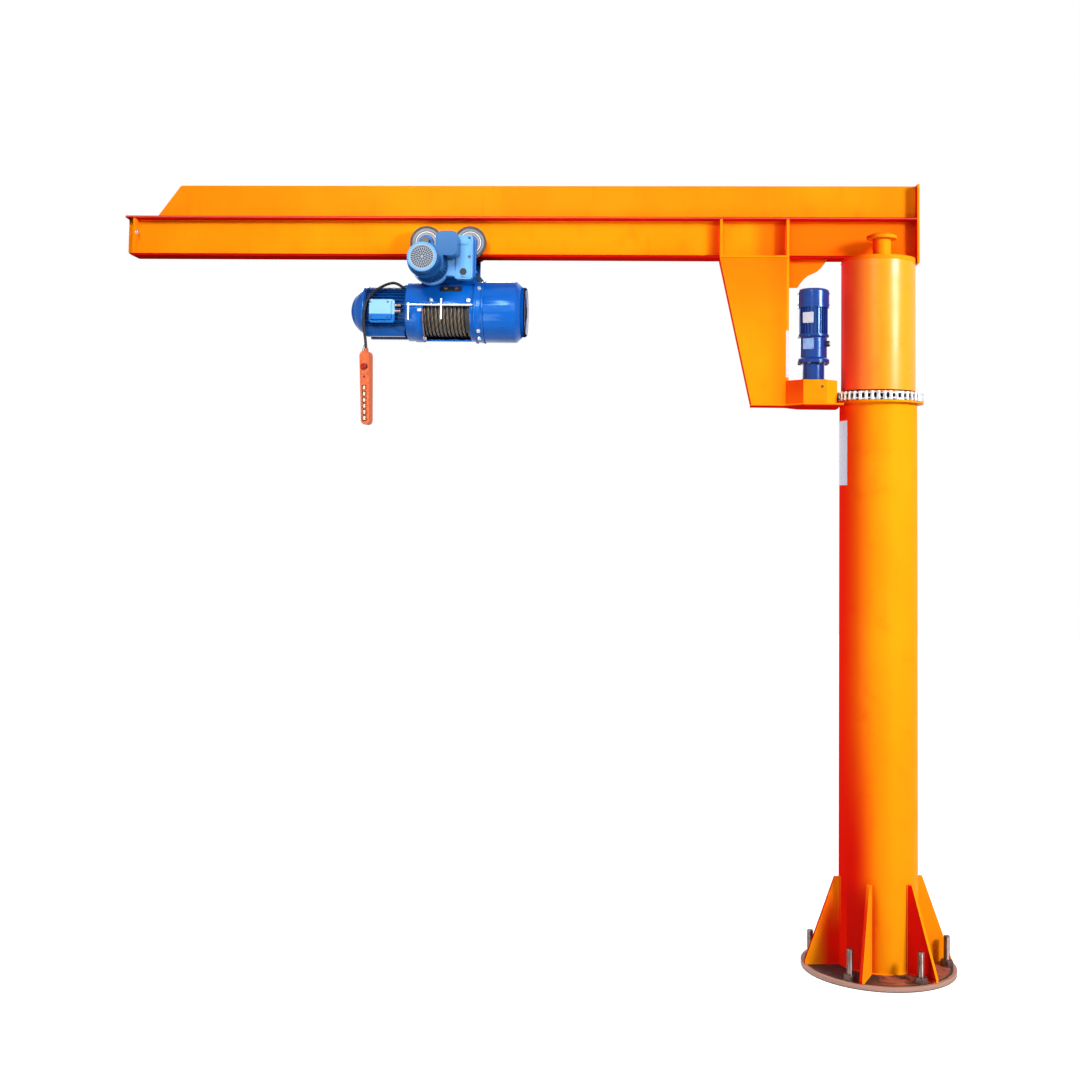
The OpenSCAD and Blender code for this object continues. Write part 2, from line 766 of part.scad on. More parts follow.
// The toothed disc's outline: a gap with a flared mouth for each roller.
module sprocket_outline() {
    gap_r = roller_d / 2 + tooth_play;
    step = 360 / sprocket_teeth;
    flare = 3.6;
    difference() {
        circle(r = tip_r, $fn = 192);
        for (i = [0:sprocket_teeth - 1]) rotate(i * step)
            translate([sprocket_r, 0]) {
                circle(r = gap_r, $fn = 32);
                polygon([[0, -gap_r], [tooth_h + 2, -gap_r - flare],
                    [tooth_h + 2, gap_r + flare], [0, gap_r]]);
            }
    }
}

module sprocket() color("dimgray")
    translate([drive_x, 0, 0]) {
        translate([0, 0, chain_mid_z - sprocket_t / 2])
            linear_extrude(sprocket_t) sprocket_outline();
        translate([0, 0, seat_z + bearing_gap])
            cylinder(d = sprocket_shaft_d, h = seat_h - 2 * bearing_gap);
        translate([0, 0, chain_mid_z + sprocket_t / 2])
            cylinder(d = sprocket_hub_d, h = sprocket_hub_h);
    }

// ---------------------------------------------------------------- trolley

// A side plate: two axle bosses that reach down to the hanger.
module trolley_plate_outline() {
    difference() {
        union() {
            for (x = [outer_x, inner_x]) translate([x, axle_z]) circle(r = axle_boss_r);
            polygon([[outer_x - axle_boss_r, axle_z], [outer_x + axle_boss_r, axle_z],
                [outer_x + axle_boss_r, beam_z + 20], [inner_x - axle_boss_r, beam_z + 20],
                [inner_x - axle_boss_r, axle_z], [inner_x + axle_boss_r, axle_z],
                [inner_x + axle_boss_r, hanger_z], [outer_x - axle_boss_r, hanger_z]]);
        }
        for (x = [outer_x, inner_x]) translate([x, axle_z])
            circle(d = axle_d + 2 * bearing_gap);
    }
}

module trolley_plates() color(color_hoist)
    both_sides() along_y(-plate_y - trolley_plate_t, trolley_plate_t) trolley_plate_outline();

// The frame between the side plates: two cross bars and the saddle on the drum
// housing. Two cheeks brace the saddle's inner end.
module trolley_hanger() color(color_hoist) {
    bar = 40;
    foot = 60;
    cheek_l = 36;
    cheek_h = 44;
    end_x = inner_x + saddle_end;
    difference() {
        union() {
            for (x = [outer_x, inner_x])
                translate([x - bar / 2, -plate_y, hanger_z]) cube([bar, 2 * plate_y, hanger_bar_h]);
            translate([outer_x - bar / 2, -saddle_w / 2, hoist_z + foot])
                cube([end_x - outer_x + bar / 2, saddle_w, hanger_z + hanger_bar_h / 2 - hoist_z - foot]);
            both_sides() along_y(-saddle_w / 2, cheek_t)
                polygon([[end_x - 1, hanger_z + hanger_bar_h / 2],
                    [end_x, hanger_z + hanger_bar_h / 2],
                    [end_x + cheek_l, hanger_z + hanger_bar_h / 2 - cheek_h],
                    [end_x + cheek_l, hoist_z + foot], [end_x - 1, hoist_z + foot]]);
        }
        translate([0, 0, hoist_z]) rod_x(outer_x - bar, wheel_base + 3 * bar + cheek_l, housing_d);
        translate([0, 0, hoist_z])
            rod_x(gear_flange_x, gear_flange_l + bar, hoist_d + 2 * flange_ridge_h);
    }
}

// A rectangle with round corners, from its lower left corner.
module round_rectangle(width, height, r) {
    translate([r, 0]) square([width - 2 * r, height]);
    translate([0, r]) square([width, height - 2 * r]);
    for (x = [r, width - r], y = [r, height - r]) translate([x, y]) circle(r = r, $fn = 48);
}

// Gearbox of the travel drive: a round motor flange and an upright case with a
// cover plate, over one axle.
module travel_gearbox() color("lightskyblue") {
    case_x = inner_x + axle_boss_r - 10 - travel_case_w;
    case_z = travel_z - travel_case_drop;
    rim = 7;
    difference() {
        union() {
            along_y(-travel_end_y, travel_gear_w) {
                translate([travel_x, travel_z]) circle(d = travel_motor_d + 12, $fn = 64);
                translate([travel_x, case_z + travel_case_r])
                    square([case_x - travel_x + travel_case_r, travel_case_h / 2]);
                translate([case_x, case_z]) round_rectangle(travel_case_w, travel_case_h, travel_case_r);
            }
            along_y(-travel_end_y - travel_cover_t, travel_cover_t + 1) difference() {
                translate([case_x + rim, case_z + rim])
                    round_rectangle(travel_case_w - 2 * rim, travel_case_h - 2 * rim, travel_case_r - rim / 2);
                translate([travel_x, travel_z]) circle(d = travel_motor_d + 16, $fn = 64);
            }
        }
        translate([inner_x, 0, axle_z]) rod_y(-travel_y - 10, 12, axle_d + 2 * bearing_gap);
    }
}

// The travel motor: a finned body between two end shields, with a terminal block
// at its upper side.
module travel_motor() color("steelblue") {
    shield = 12;
    block_x = travel_x + travel_motor_d / 2 - 38;
    block_z = travel_z + travel_motor_d / 2 - 46;
    along_y(-travel_end_y - travel_motor_l, travel_motor_l)
        translate([travel_x, travel_z])
            finned_section(travel_motor_d / 2 - 6, travel_motor_d / 2, 32, 3);
    for (y = [-travel_end_y - travel_motor_l, -travel_end_y - shield])
        translate([travel_x, 0, travel_z]) rod_y(y, shield, travel_motor_d + 4);
    along_y(-travel_end_y - shield - block_l, block_l + 1)
        translate([block_x, block_z]) round_rectangle(block_w, block_h, block_r);
}

module travel_cowl() color("steelblue")
    translate([travel_x, -travel_end_y - travel_motor_l, travel_z])
        rotate([90, 0, 0]) fan_cowl(travel_cowl_d, travel_cowl_l);

// A flanged wheel on its axle. The tread is inside, the rim outside the beam's
// flange, with a turned recess between its edge and its hub.
module wheel(x, side) color("silver") {
    hub_d = axle_d + 24;
    face = rim_y + rim_w;
    translate([x, 0, axle_z]) scale([1, side, 1]) {
        rod_y(tread_y, rim_y - tread_y + 1, tread_d - 2 * bearing_gap);
        difference() {
            rod_y(rim_y, rim_w, rim_d);
            rod_y(face - rim_recess, rim_recess + 1, rim_d - 2 * rim_edge_w);
        }
        rod_y(rim_y, rim_w, hub_d);
        rod_y(face, wheel_side_gap + trolley_plate_t + 8, axle_d);
    }
}

module wheel_near_out() wheel(outer_x, -1);
module wheel_near_in() wheel(inner_x, -1);
module wheel_far_out() wheel(outer_x, 1);
module wheel_far_in() wheel(inner_x, 1);

// ---------------------------------------------------------------- hoist

// The drum housing: a shell with end walls, a rope window at the front and below,
// the rope guide's band, and a cable gland on its outer end.
module drum_housing() color(color_hoist) {
    translate([0, 0, hoist_z]) difference() {
        union() {
            rod_x(housing_x, housing_l, housing_d);
            difference() {
                rod_x(housing_x + band_x, band_w, housing_d + 2 * band_h);
                translate([housing_x, -housing_d, window_top - guide_d])
                    cube([window_x, 2 * housing_d, housing_d]);
            }
        }
        rod_x(housing_x + end_wall, housing_l - 2 * end_wall, housing_d - 2 * housing_wall);
        rod_x(housing_x - 1, housing_l + 2, drum_shaft_d + 2 * bearing_gap);
        translate([housing_x + window_x, -housing_d, -housing_d])
            cube([window_l, housing_d, housing_d + window_top]);
    }
    translate([0, gland_y, gland_z]) rod_x(housing_x - gland_l, gland_l, gland_d);
}

// The rod across the rope window, on two lugs, with two upright limit rods.
module rope_guide() color("silver") {
    lug = 14;
    y = -housing_r - guide_d / 2;
    z = hoist_z + window_top + guide_d / 2 + 1;
    limit_rods = [[14, 8, 66], [156, 26, 63]];
    difference() {
        union() {
            translate([0, y, z]) rod_x(housing_x + 8, housing_l - 12, guide_d);
            for (x = [lug, housing_l - 2 * lug])
                translate([housing_x + x, y, z - guide_d / 2]) cube([lug, housing_r * 0.16, guide_d]);
            for (rod = limit_rods)
                translate([housing_x + rod[0], y, z - rod[2]]) cylinder(d = guide_d, h = rod[1] + rod[2]);
        }
        translate([0, 0, hoist_z]) rod_x(housing_x, housing_l, housing_d);
    }
}

// The drum on its shaft, between two flanges, with the rope's turns in its grooves.
module rope_drum() color("dimgray") {
    start = end_wall + run_gap;
    flange_r = rope_r + rope_d / 2 + 3;
    translate([housing_x, 0, hoist_z]) rotate([0, 90, 0]) rotate_extrude($fn = 96) {
        translate([0, start]) square([drum_d / 2, housing_l - 2 * start]);
        translate([0, bearing_gap]) square([drum_shaft_d / 2, housing_l - 2 * bearing_gap]);
        for (x = [start, housing_l - start - drum_flange_t])
            translate([0, x]) square([flange_r, drum_flange_t]);
        for (x = [start + drum_flange_t + rope_pitch:rope_pitch:housing_l - start - 2 * drum_flange_t])
            translate([rope_r, x]) circle(d = rope_d, $fn = 24);
    }
}

// The flange between the housing and the gearbox, with a ridge at each end.
module gear_flange() color(color_hoist)
    translate([0, 0, hoist_z]) {
        rod_x(gear_flange_x, gear_flange_l, hoist_d);
        for (x = [0, gear_flange_l - flange_ridge_w])
            rod_x(gear_flange_x + x, flange_ridge_w, hoist_d + 2 * flange_ridge_h);
    }

// The hoist's gearbox: a case with flat facets and a chamfered end.
module hoist_gearbox() color(color_hoist) {
    r = hoist_d / 2;
    translate([gear_x, 0, hoist_z]) rotate([0, 90, 0])
        intersection() {
            linear_extrude(gear_l) intersection() {
                circle(r = r, $fn = 96);
                rotate(15) circle(r = r * 1.03, $fn = 12);
            }
            rotate_extrude($fn = 96)
                polygon([[0, 0], [r + 4, 0], [r + 4, gear_l - gear_chamfer_l - 4],
                    [r - gear_chamfer_h, gear_l], [0, gear_l]]);
        }
}

// The gearbox's end cap: a raised ring, a recess and a boss in its middle.
module gearbox_cap() color("silver") {
    cap_r = hoist_d / 2 - gear_chamfer_h - 3;
    ring_w = 16;
    boss_r = 34;
    base = gear_cap_l * 0.4;
    translate([gear_end_x, 0, hoist_z]) rotate([0, 90, 0]) rotate_extrude($fn = 96)
        polygon([[0, 0], [cap_r, 0], [cap_r, gear_cap_l * 0.7], [cap_r - 4, gear_cap_l],
            [cap_r - ring_w, gear_cap_l], [cap_r - ring_w - 4, base], [boss_r + 4, base],
            [boss_r, gear_cap_l], [0, gear_cap_l]]);
}

// The hoist motor: a finned body between two bands, on two feet.
module hoist_motor() color(color_hoist) {
    x0 = housing_x - motor_l;
    foot_l = motor_l - 2 * motor_band_w;
    translate([x0, 0, hoist_z]) rotate([0, 90, 0])
        linear_extrude(motor_l) finned_section(motor_d / 2 - 9, motor_d / 2, 36, 4);
    difference() {
        for (x = [x0, housing_x - motor_band_w])
            translate([0, 0, hoist_z]) rod_x(x, motor_band_w, motor_d + 2 * motor_band_h);
        translate([0, gland_y, gland_z])
            rod_x(housing_x - gland_l, gland_l + 1, gland_d + 2 * bearing_gap);
    }
    for (side = [-1, 1])
        translate([x0 + motor_band_w, side * foot_pitch / 2 - foot_w / 2, hoist_z - foot_drop])
            cube([foot_l, foot_w, foot_drop - motor_d / 4]);
}

// The domed fan cowl with a band at its open end.
module motor_dome() color(color_hoist) {
    dome_r = (pow(motor_d / 2, 2) + dome_l * dome_l) / (2 * dome_l);
    translate([housing_x - motor_l, 0, hoist_z]) rotate([0, -90, 0])
        rotate_extrude($fn = 96) {
            intersection() {
                square([motor_d / 2, dome_l]);
                translate([0, dome_l - dome_r]) circle(r = dome_r, $fn = 256);
            }
            square([motor_d / 2 + 2, motor_band_w]);
        }
}

// The terminal box, cut to sit on the motor's fins. Its lid stands on a wider frame.
module terminal_box() color("lightskyblue") {
    frame = [110, 100];
    lid = [94, 82];
    lid_t = 12;
    r = 12;
    front = motor_d / 2 + 26;
    middle = [housing_x - 102, hoist_z - 12];
    lid_middle = middle + [-5, 4];
    difference() {
        union() {
            along_y(-front + lid_t, front - lid_t)
                translate(middle - frame / 2) round_rectangle(frame[0], frame[1], r);
            along_y(-front, lid_t + 1)
                translate(lid_middle - lid / 2) round_rectangle(lid[0], lid[1], r / 2);
        }
        translate([0, 0, hoist_z])
            rod_x(housing_x - motor_l - 1, motor_l + 2, motor_d + 2 * bearing_gap);
    }
}

// ---------------------------------------------------------------- pendant

pendant_x = -2190;
pendant_y = -125;
pendant_top_z = 2544;

// The pendant: a slim case with round ends that tapers to its foot, a raised panel
// and a neck for the cable. It leans a little and is turned on its cable.
module pendant() color("coral") {
    head_r = pendant_w / 2;
    foot_r = pendant_foot_w / 2;
    foot_z = foot_r - pendant_h;
    panel_w = pendant_foot_w * 0.55;
    panel_t = 3;
    translate([pendant_x, pendant_y, pendant_top_z + gland_l])
        rotate([0, -pendant_lean, 0]) rotate(pendant_turn) translate([0, 0, -gland_l]) {
            along_y(-pendant_t / 2, pendant_t) {
                translate([0, -head_r]) circle(r = head_r, $fn = 64);
                translate([0, foot_z]) circle(r = foot_r, $fn = 64);
                polygon([[-head_r, -head_r], [head_r, -head_r], [foot_r, foot_z], [-foot_r, foot_z]]);
            }
            along_y(-pendant_t / 2 - panel_t, panel_t + 1)
                translate([-panel_w / 2, foot_z])
                    square([panel_w, pendant_h - foot_r - 1.7 * head_r]);
            translate([0, 0, -head_r / 2]) cylinder(d = gland_d, h = head_r / 2 + gland_l);
        }
}

// Points of the control cable, from the housing's end over the motor to the pendant.
cable_points = [[-2037, -58, 2832], [-2050, -58, 2832], [-2066, -61, 2842], [-2086, -67, 2848],
    [-2108, -76, 2843], [-2134, -88, 2829], [-2160, -101, 2809], [-2182, -112, 2783],
    [-2196, -119, 2752], [-2203, -123, 2715], [-2204, -125, 2675], [-2200, -126, 2635],
    [-2194, -125, 2595], [-2190, -125, 2556]];

function unit(v) = v / norm(v);
function tangent(p, i) = unit(p[min(i + 1, len(p) - 1)] - p[max(i - 1, 0)]);
function cable_ring(p, i, sides) = let (t = tangent(p, i), a = unit(cross(t, [1, 0.2, 0.1])), b = cross(t, a))
    [for (k = [0:sides - 1]) p[i] + cable_d / 2 * (cos(k * 360 / sides) * a + sin(k * 360 / sides) * b)];

// A tube swept along points: rings joined by quads, with a flat face at each end.
module swept_tube(p, sides = 8) {
    n = len(p);
    points = [for (i = [0:n - 1]) each cable_ring(p, i, sides)];
    faces = concat(
        [[for (k = [0:sides - 1]) k]],
        [for (i = [0:n - 2], k = [0:sides - 1]) [i * sides + k, (i + 1) * sides + k,
            (i + 1) * sides + (k + 1) % sides, i * sides + (k + 1) % sides]],
        [[for (k = [sides - 1:-1:0]) (n - 1) * sides + k]]);
    polyhedron(points, faces);
}

module control_cable() color("black") swept_tube(cable_points);

base_plate();
base_gussets();
column_tube();
column_top();
spindle();
chain_lip();
slew_chain();
sleeve();
sleeve_cap();
cap_pin();
jib_beam();
jib_rib();
rear_plate();
trolley_stops();
web_stiffeners();
bracket_sides();
bracket_front();
bracket_rear();
curved_gusset();
bracket_bottom();
motor_seat();
drive_gearbox();
drive_motor();
drive_cowl();
sprocket();
trolley_plates();
trolley_hanger();
travel_gearbox();
travel_motor();
travel_cowl();
drum_housing();
rope_guide();
gear_flange();
hoist_gearbox();
gearbox_cap();
hoist_motor();
motor_dome();
terminal_box();
pendant();
control_cable();
rope_drum();
wheel_near_out();
wheel_near_in();
wheel_far_out();
wheel_far_in();
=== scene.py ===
"""Looks of a pillar-mounted jib crane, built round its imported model. Metres, +Z up.

The crane stands at the origin and its jib reaches towards -X. Each sub-assembly
is a class that holds its sizes, builds its meshes with numpy and dresses the
nodes that it is responsible for.
"""

from __future__ import annotations

import logging
import math
from dataclasses import dataclass, field
from enum import Enum
from typing import Iterable, Sequence

import bmesh
import bpy
import numpy as np
from mathutils import Matrix, Vector

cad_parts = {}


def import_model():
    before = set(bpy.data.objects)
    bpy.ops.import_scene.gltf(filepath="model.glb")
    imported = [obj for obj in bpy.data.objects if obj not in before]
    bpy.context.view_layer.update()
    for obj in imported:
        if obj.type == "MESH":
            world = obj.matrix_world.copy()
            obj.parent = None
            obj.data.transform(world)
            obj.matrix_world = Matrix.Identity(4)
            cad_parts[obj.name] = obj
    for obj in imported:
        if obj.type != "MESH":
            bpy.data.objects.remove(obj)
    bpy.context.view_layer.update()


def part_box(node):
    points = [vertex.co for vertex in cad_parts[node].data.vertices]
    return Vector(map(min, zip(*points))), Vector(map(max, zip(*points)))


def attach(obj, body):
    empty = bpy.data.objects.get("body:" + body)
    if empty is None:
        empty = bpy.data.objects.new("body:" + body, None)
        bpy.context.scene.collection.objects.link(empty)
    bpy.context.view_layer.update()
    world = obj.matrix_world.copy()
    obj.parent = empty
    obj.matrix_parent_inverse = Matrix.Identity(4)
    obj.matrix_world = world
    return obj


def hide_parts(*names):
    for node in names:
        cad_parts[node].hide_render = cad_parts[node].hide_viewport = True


LOG = logging.getLogger("jib_crane")
MM = 0.001


class Body(Enum):
    """The bodies of the frame that pieces ride on."""

    COLUMN = "column"
    JIB = "jib"
    TROLLEY = "trolley"
    DRUM = "drum"
    WHEEL_NEAR_OUT = "wheel_near_out"
    WHEEL_FAR_OUT = "wheel_far_out"
    WHEEL_FAR_IN = "wheel_far_in"


class Slot(Enum):
    """The record's material slots."""

    BASE = "base_paint"
    COLUMN = "column_paint"
    JIB = "jib_paint"
    DRIVE = "drive_blue"
    HOIST = "hoist_blue"
    TRAVEL = "travel_blue"
    BEARING = "bearing_steel"
    CHAIN = "chain_steel"
    DARK = "dark_steel"
    BRIGHT = "bright_steel"
    CAP = "cap_grey"
    WHEEL = "wheel_steel"
    ROPE = "rope_steel"
    PENDANT = "pendant_orange"
    CABLE = "cable_black"


class Axis(Enum):
    """A direction in the frame, as a unit vector."""

    RIGHT = (1.0, 0.0, 0.0)
    FRONT = (0.0, -1.0, 0.0)
    BACK = (0.0, 1.0, 0.0)
    UP = (0.0, 0.0, 1.0)
    DOWN = (0.0, 0.0, -1.0)


# ---------------------------------------------------------------- forms


@dataclass
class Form:
    """Points and faces of a closed shape, in metres.

    Faces are held as arrays, one for each number of corners.
    """

    points: np.ndarray
    faces: list[np.ndarray] = field(default_factory=list)

    def moved(self, x: float = 0.0, y: float = 0.0, z: float = 0.0) -> Form:
        """Returns a copy shifted by x, y and z."""
        return Form(self.points + np.array([x, y, z]), self.faces)

    def placed(self, matrices: np.ndarray) -> Form:
        """Repeats the form at many places, as one form.

        Args:
            matrices: an array of shape (n, 4, 4), one matrix for each copy.

        Returns:
            All the copies together.
        """
        places = np.asarray(matrices, float).reshape(-1, 4, 4)
        points = np.einsum("nij,kj->nki", places[:, :3, :3], self.points)
        points = points + places[:, None, :3, 3]
        shift = np.arange(len(places))[:, None, None] * len(self.points)
        faces = [(f[None] + shift).reshape(-1, f.shape[1]) for f in self.faces]
        return Form(points.reshape(-1, 3), faces)

    def __add__(self, other: Form) -> Form:
        """Joins two forms without welding them."""
        shifted = [f + len(self.points) for f in other.faces]
        return Form(np.vstack([self.points, other.points]), self.faces + shifted)


def joined(forms: Iterable[Form]) -> Form:
    """Joins several forms into one.

    Args:
        forms: the forms, in order.

    Returns:
        One form with all their points and faces.
    """
    total = Form(np.zeros((0, 3)))
    for form in forms:
        total = total + form
    return total


def grid(points: np.ndarray, wrap: bool = True, close: bool = False, capped: bool = False) -> Form:
    """Makes the surface on a grid of points.

    Args:
        points: an array (rows, columns, 3). Rows follow the path, columns go round it.
        wrap: joins the last column to the first.
        close: joins the last row to the first.
        capped: adds a flat face over the first and over the last row.

    Returns:
        The quads between neighbouring points, and the caps.
    """
    rows, cols = points.shape[:2]
    index = np.arange(rows * cols).reshape(rows, cols)
    if wrap:
        index = np.concatenate([index, index[:, :1]], axis=1)
    if close:
        index = np.concatenate([index, index[:1]], axis=0)
    quads = np.stack([index[:-1, :-1], index[:-1, 1:], index[1:, 1:], index[1:, :-1]], axis=-1)
    faces = [quads.reshape(-1, 4)]
    if capped:
        faces.append(np.arange(cols)[None, ::-1])
        faces.append(np.arange(cols)[None] + (rows - 1) * cols)
    return Form(points.reshape(-1, 3), faces)


def lathe(profile: Sequence[tuple[float, float]], steps: int = 48) -> Form:
    """Turns a profile round Z: x = r cos a, y = r sin a, z = h.

    Args:
        profile: pairs of radius and height. It starts and ends on the axis, or is closed by the mesh.
        steps: number of points round the axis.

    Returns:
        The turned surface.
    """
    rh = np.asarray(profile, float)
    a = np.linspace(0.0, 2.0 * np.pi, steps, endpoint=False)
    points = np.stack(
        [rh[:, :1] * np.cos(a), rh[:, :1] * np.sin(a), np.repeat(rh[:, 1:], steps, axis=1)], axis=-1
    )
    return grid(points)


def prism(outline: Sequence[tuple[float, float]], height: float) -> Form:
    """Raises a flat outline along Z from 0 to the height, with a face at each end.

    Args:
        outline: corners in X and Y, in order.
        height: height of the prism.

    Returns:
        The closed prism.
    """
    xy = np.asarray(outline, float)
    ends = [np.column_stack([xy, np.full(len(xy), z)]) for z in (0.0, height)]
    return grid(np.stack(ends), capped=True)


def round_box(size: Sequence[float], radius: float, crown: float = 0.0, steps: int = 4) -> Form:
    """A box that stands on Z = 0, with rounded upright corners and a softened top edge.

    The outline is a rectangle with quarter circles at its corners. It is carried up a
    profile that is straight and then turns inwards by a quarter circle of the crown.

    Args:
        size: width in X, depth in Y and height in Z.
        radius: radius of the upright corners.
        crown: radius of the edge round the top, below the corner radius.
        steps: points in each quarter circle.

    Returns:
        The closed box.
    """
    w, d, h = size
    turn = np.linspace(0.0, np.pi / 2, steps + 1)
    quarters = np.concatenate([turn + k * np.pi / 2 for k in range(4)])
    signs = np.repeat([[1, 1], [-1, 1], [-1, -1], [1, -1]], steps + 1, axis=0)
    centres = signs * (np.array([w, d]) / 2 - radius)
    arcs = np.stack([np.cos(quarters), np.sin(quarters)], axis=1)
    lift = np.linspace(0.0, np.pi / 2, steps + 1) if crown else np.zeros(1)
    inset = np.concatenate([[0.0], crown * (1 - np.cos(lift))])
    height = np.concatenate([[0.0], h - crown + crown * np.sin(lift)])
    reach = (radius - inset)[:, None, None]
    xy = centres[None] + arcs[None] * reach
    z = np.broadcast_to(height[:, None, None], xy.shape[:2] + (1,))
    return grid(np.concatenate([xy, z], axis=2), capped=True)


def sweep(path: np.ndarray, section: np.ndarray, up: Sequence[float] = (0.0, 0.0, 1.0),
          closed: bool = False) -> Form:
    """Carries a section along a path: point = path + section x side + section y lift.

    The side is the cross product of the path's direction and the up vector, and the
    lift is the cross product of the side and the direction.

    Args:
        path: points (n, 3).
        section: an outline (m, 2), or one outline for each path point (n, m, 2).
        up: a vector that the path never runs along.
        closed: joins the path's end to its start.

    Returns:
        The swept surface, capped where it is open.
    """
    if closed:
        along = np.roll(path, -1, axis=0) - np.roll(path, 1, axis=0)
    else:
        along = np.gradient(path, axis=0)
    along = along / np.linalg.norm(along, axis=1, keepdims=True)
    side = np.cross(along, np.asarray(up, float))
    side = side / np.linalg.norm(side, axis=1, keepdims=True)
    lift = np.cross(side, along)
    outline = np.broadcast_to(section, (len(path),) + np.shape(section)[-2:])
    points = path[:, None] + outline[..., :1] * side[:, None] + outline[..., 1:] * lift[:, None]
    return grid(points, close=closed, capped=not closed)


def circle(radius: float, steps: int = 16) -> np.ndarray:
    """Points of a circle as pairs."""
    a = np.linspace(0.0, 2.0 * np.pi, steps, endpoint=False)
    return radius * np.stack([np.cos(a), np.sin(a)], axis=1)


def smooth_path(points: Sequence[Sequence[float]], parts: int = 12) -> np.ndarray:
    """Passes a smooth curve through points, as a Catmull-Rom spline of even parts.

    Args:
        points: the points that it passes through.
        parts: number of steps between two of them.

    Returns:
        Points of the curve, of shape (n, 3).
    """
    p = np.asarray(points, float)
    p = np.vstack([2 * p[0] - p[1], p, 2 * p[-1] - p[-2]])
    t = np.linspace(0.0, 1.0, parts, endpoint=False)[:, None, None]
    a, b, c, d = p[:-3], p[1:-2], p[2:-1], p[3:]
    curve = 0.5 * (2 * b + (c - a) * t + (2 * a - 5 * b + 4 * c - d) * t**2
                   + (3 * b - a - 3 * c + d) * t**3)
    return np.vstack([curve.transpose(1, 0, 2).reshape(-1, 3), p[-2]])


def facing(places: Sequence[Sequence[float]], directions: Sequence[float] | np.ndarray) -> np.ndarray:
    """Matrices that put a form's Z axis along a direction, at each place.

    Args:
        places: points (n, 3).
        directions: one direction for all, or one for each place.

    Returns:
        Matrices of shape (n, 4, 4).
    """
    at = np.atleast_2d(np.asarray(places, float))
    z = np.broadcast_to(np.asarray(directions, float), at.shape)
    z = z / np.linalg.norm(z, axis=1, keepdims=True)
    helper = np.where(np.abs(z[:, 2:]) < 0.9, np.array([[0.0, 0.0, 1.0]]), np.array([[1.0, 0.0, 0.0]]))
    x = np.cross(helper, z)
    x = x / np.linalg.norm(x, axis=1, keepdims=True)
    y = np.cross(z, x)
    out = np.tile(np.eye(4), (len(at), 1, 1))
    out[:, :3, 0] = x
    out[:, :3, 1] = y
    out[:, :3, 2] = z
    out[:, :3, 3] = at
    return out


def ring_places(centre: Sequence[float], radius: float, count: int, axis: Axis,
                first: float = 0.0) -> np.ndarray:
    """Points spread evenly round a circle.

    Args:
        centre: the circle's centre.
        radius: the circle's radius.
        count: number of points.
        axis: the direction that the circle is square to.
        first: angle of the first point, in degrees.

    Returns:
        Points of shape (count, 3).
    """
    frame = facing([centre], axis.value)[0]
    a = np.radians(first) + np.linspace(0.0, 2.0 * np.pi, count, endpoint=False)
    flat = np.stack([radius * np.cos(a), radius * np.sin(a), np.zeros(count)], axis=1)
    return flat @ frame[:3, :3].T + frame[:3, 3]


def stood(form: Form, places: Sequence[Sequence[float]], direction: Axis | Sequence[float]) -> Form:
    """Stands a copy of a form at each place, with its Z axis along a direction."""
    return form.placed(facing(places, direction.value if isinstance(direction, Axis) else direction))


# ---------------------------------------------------------------- fasteners and trim


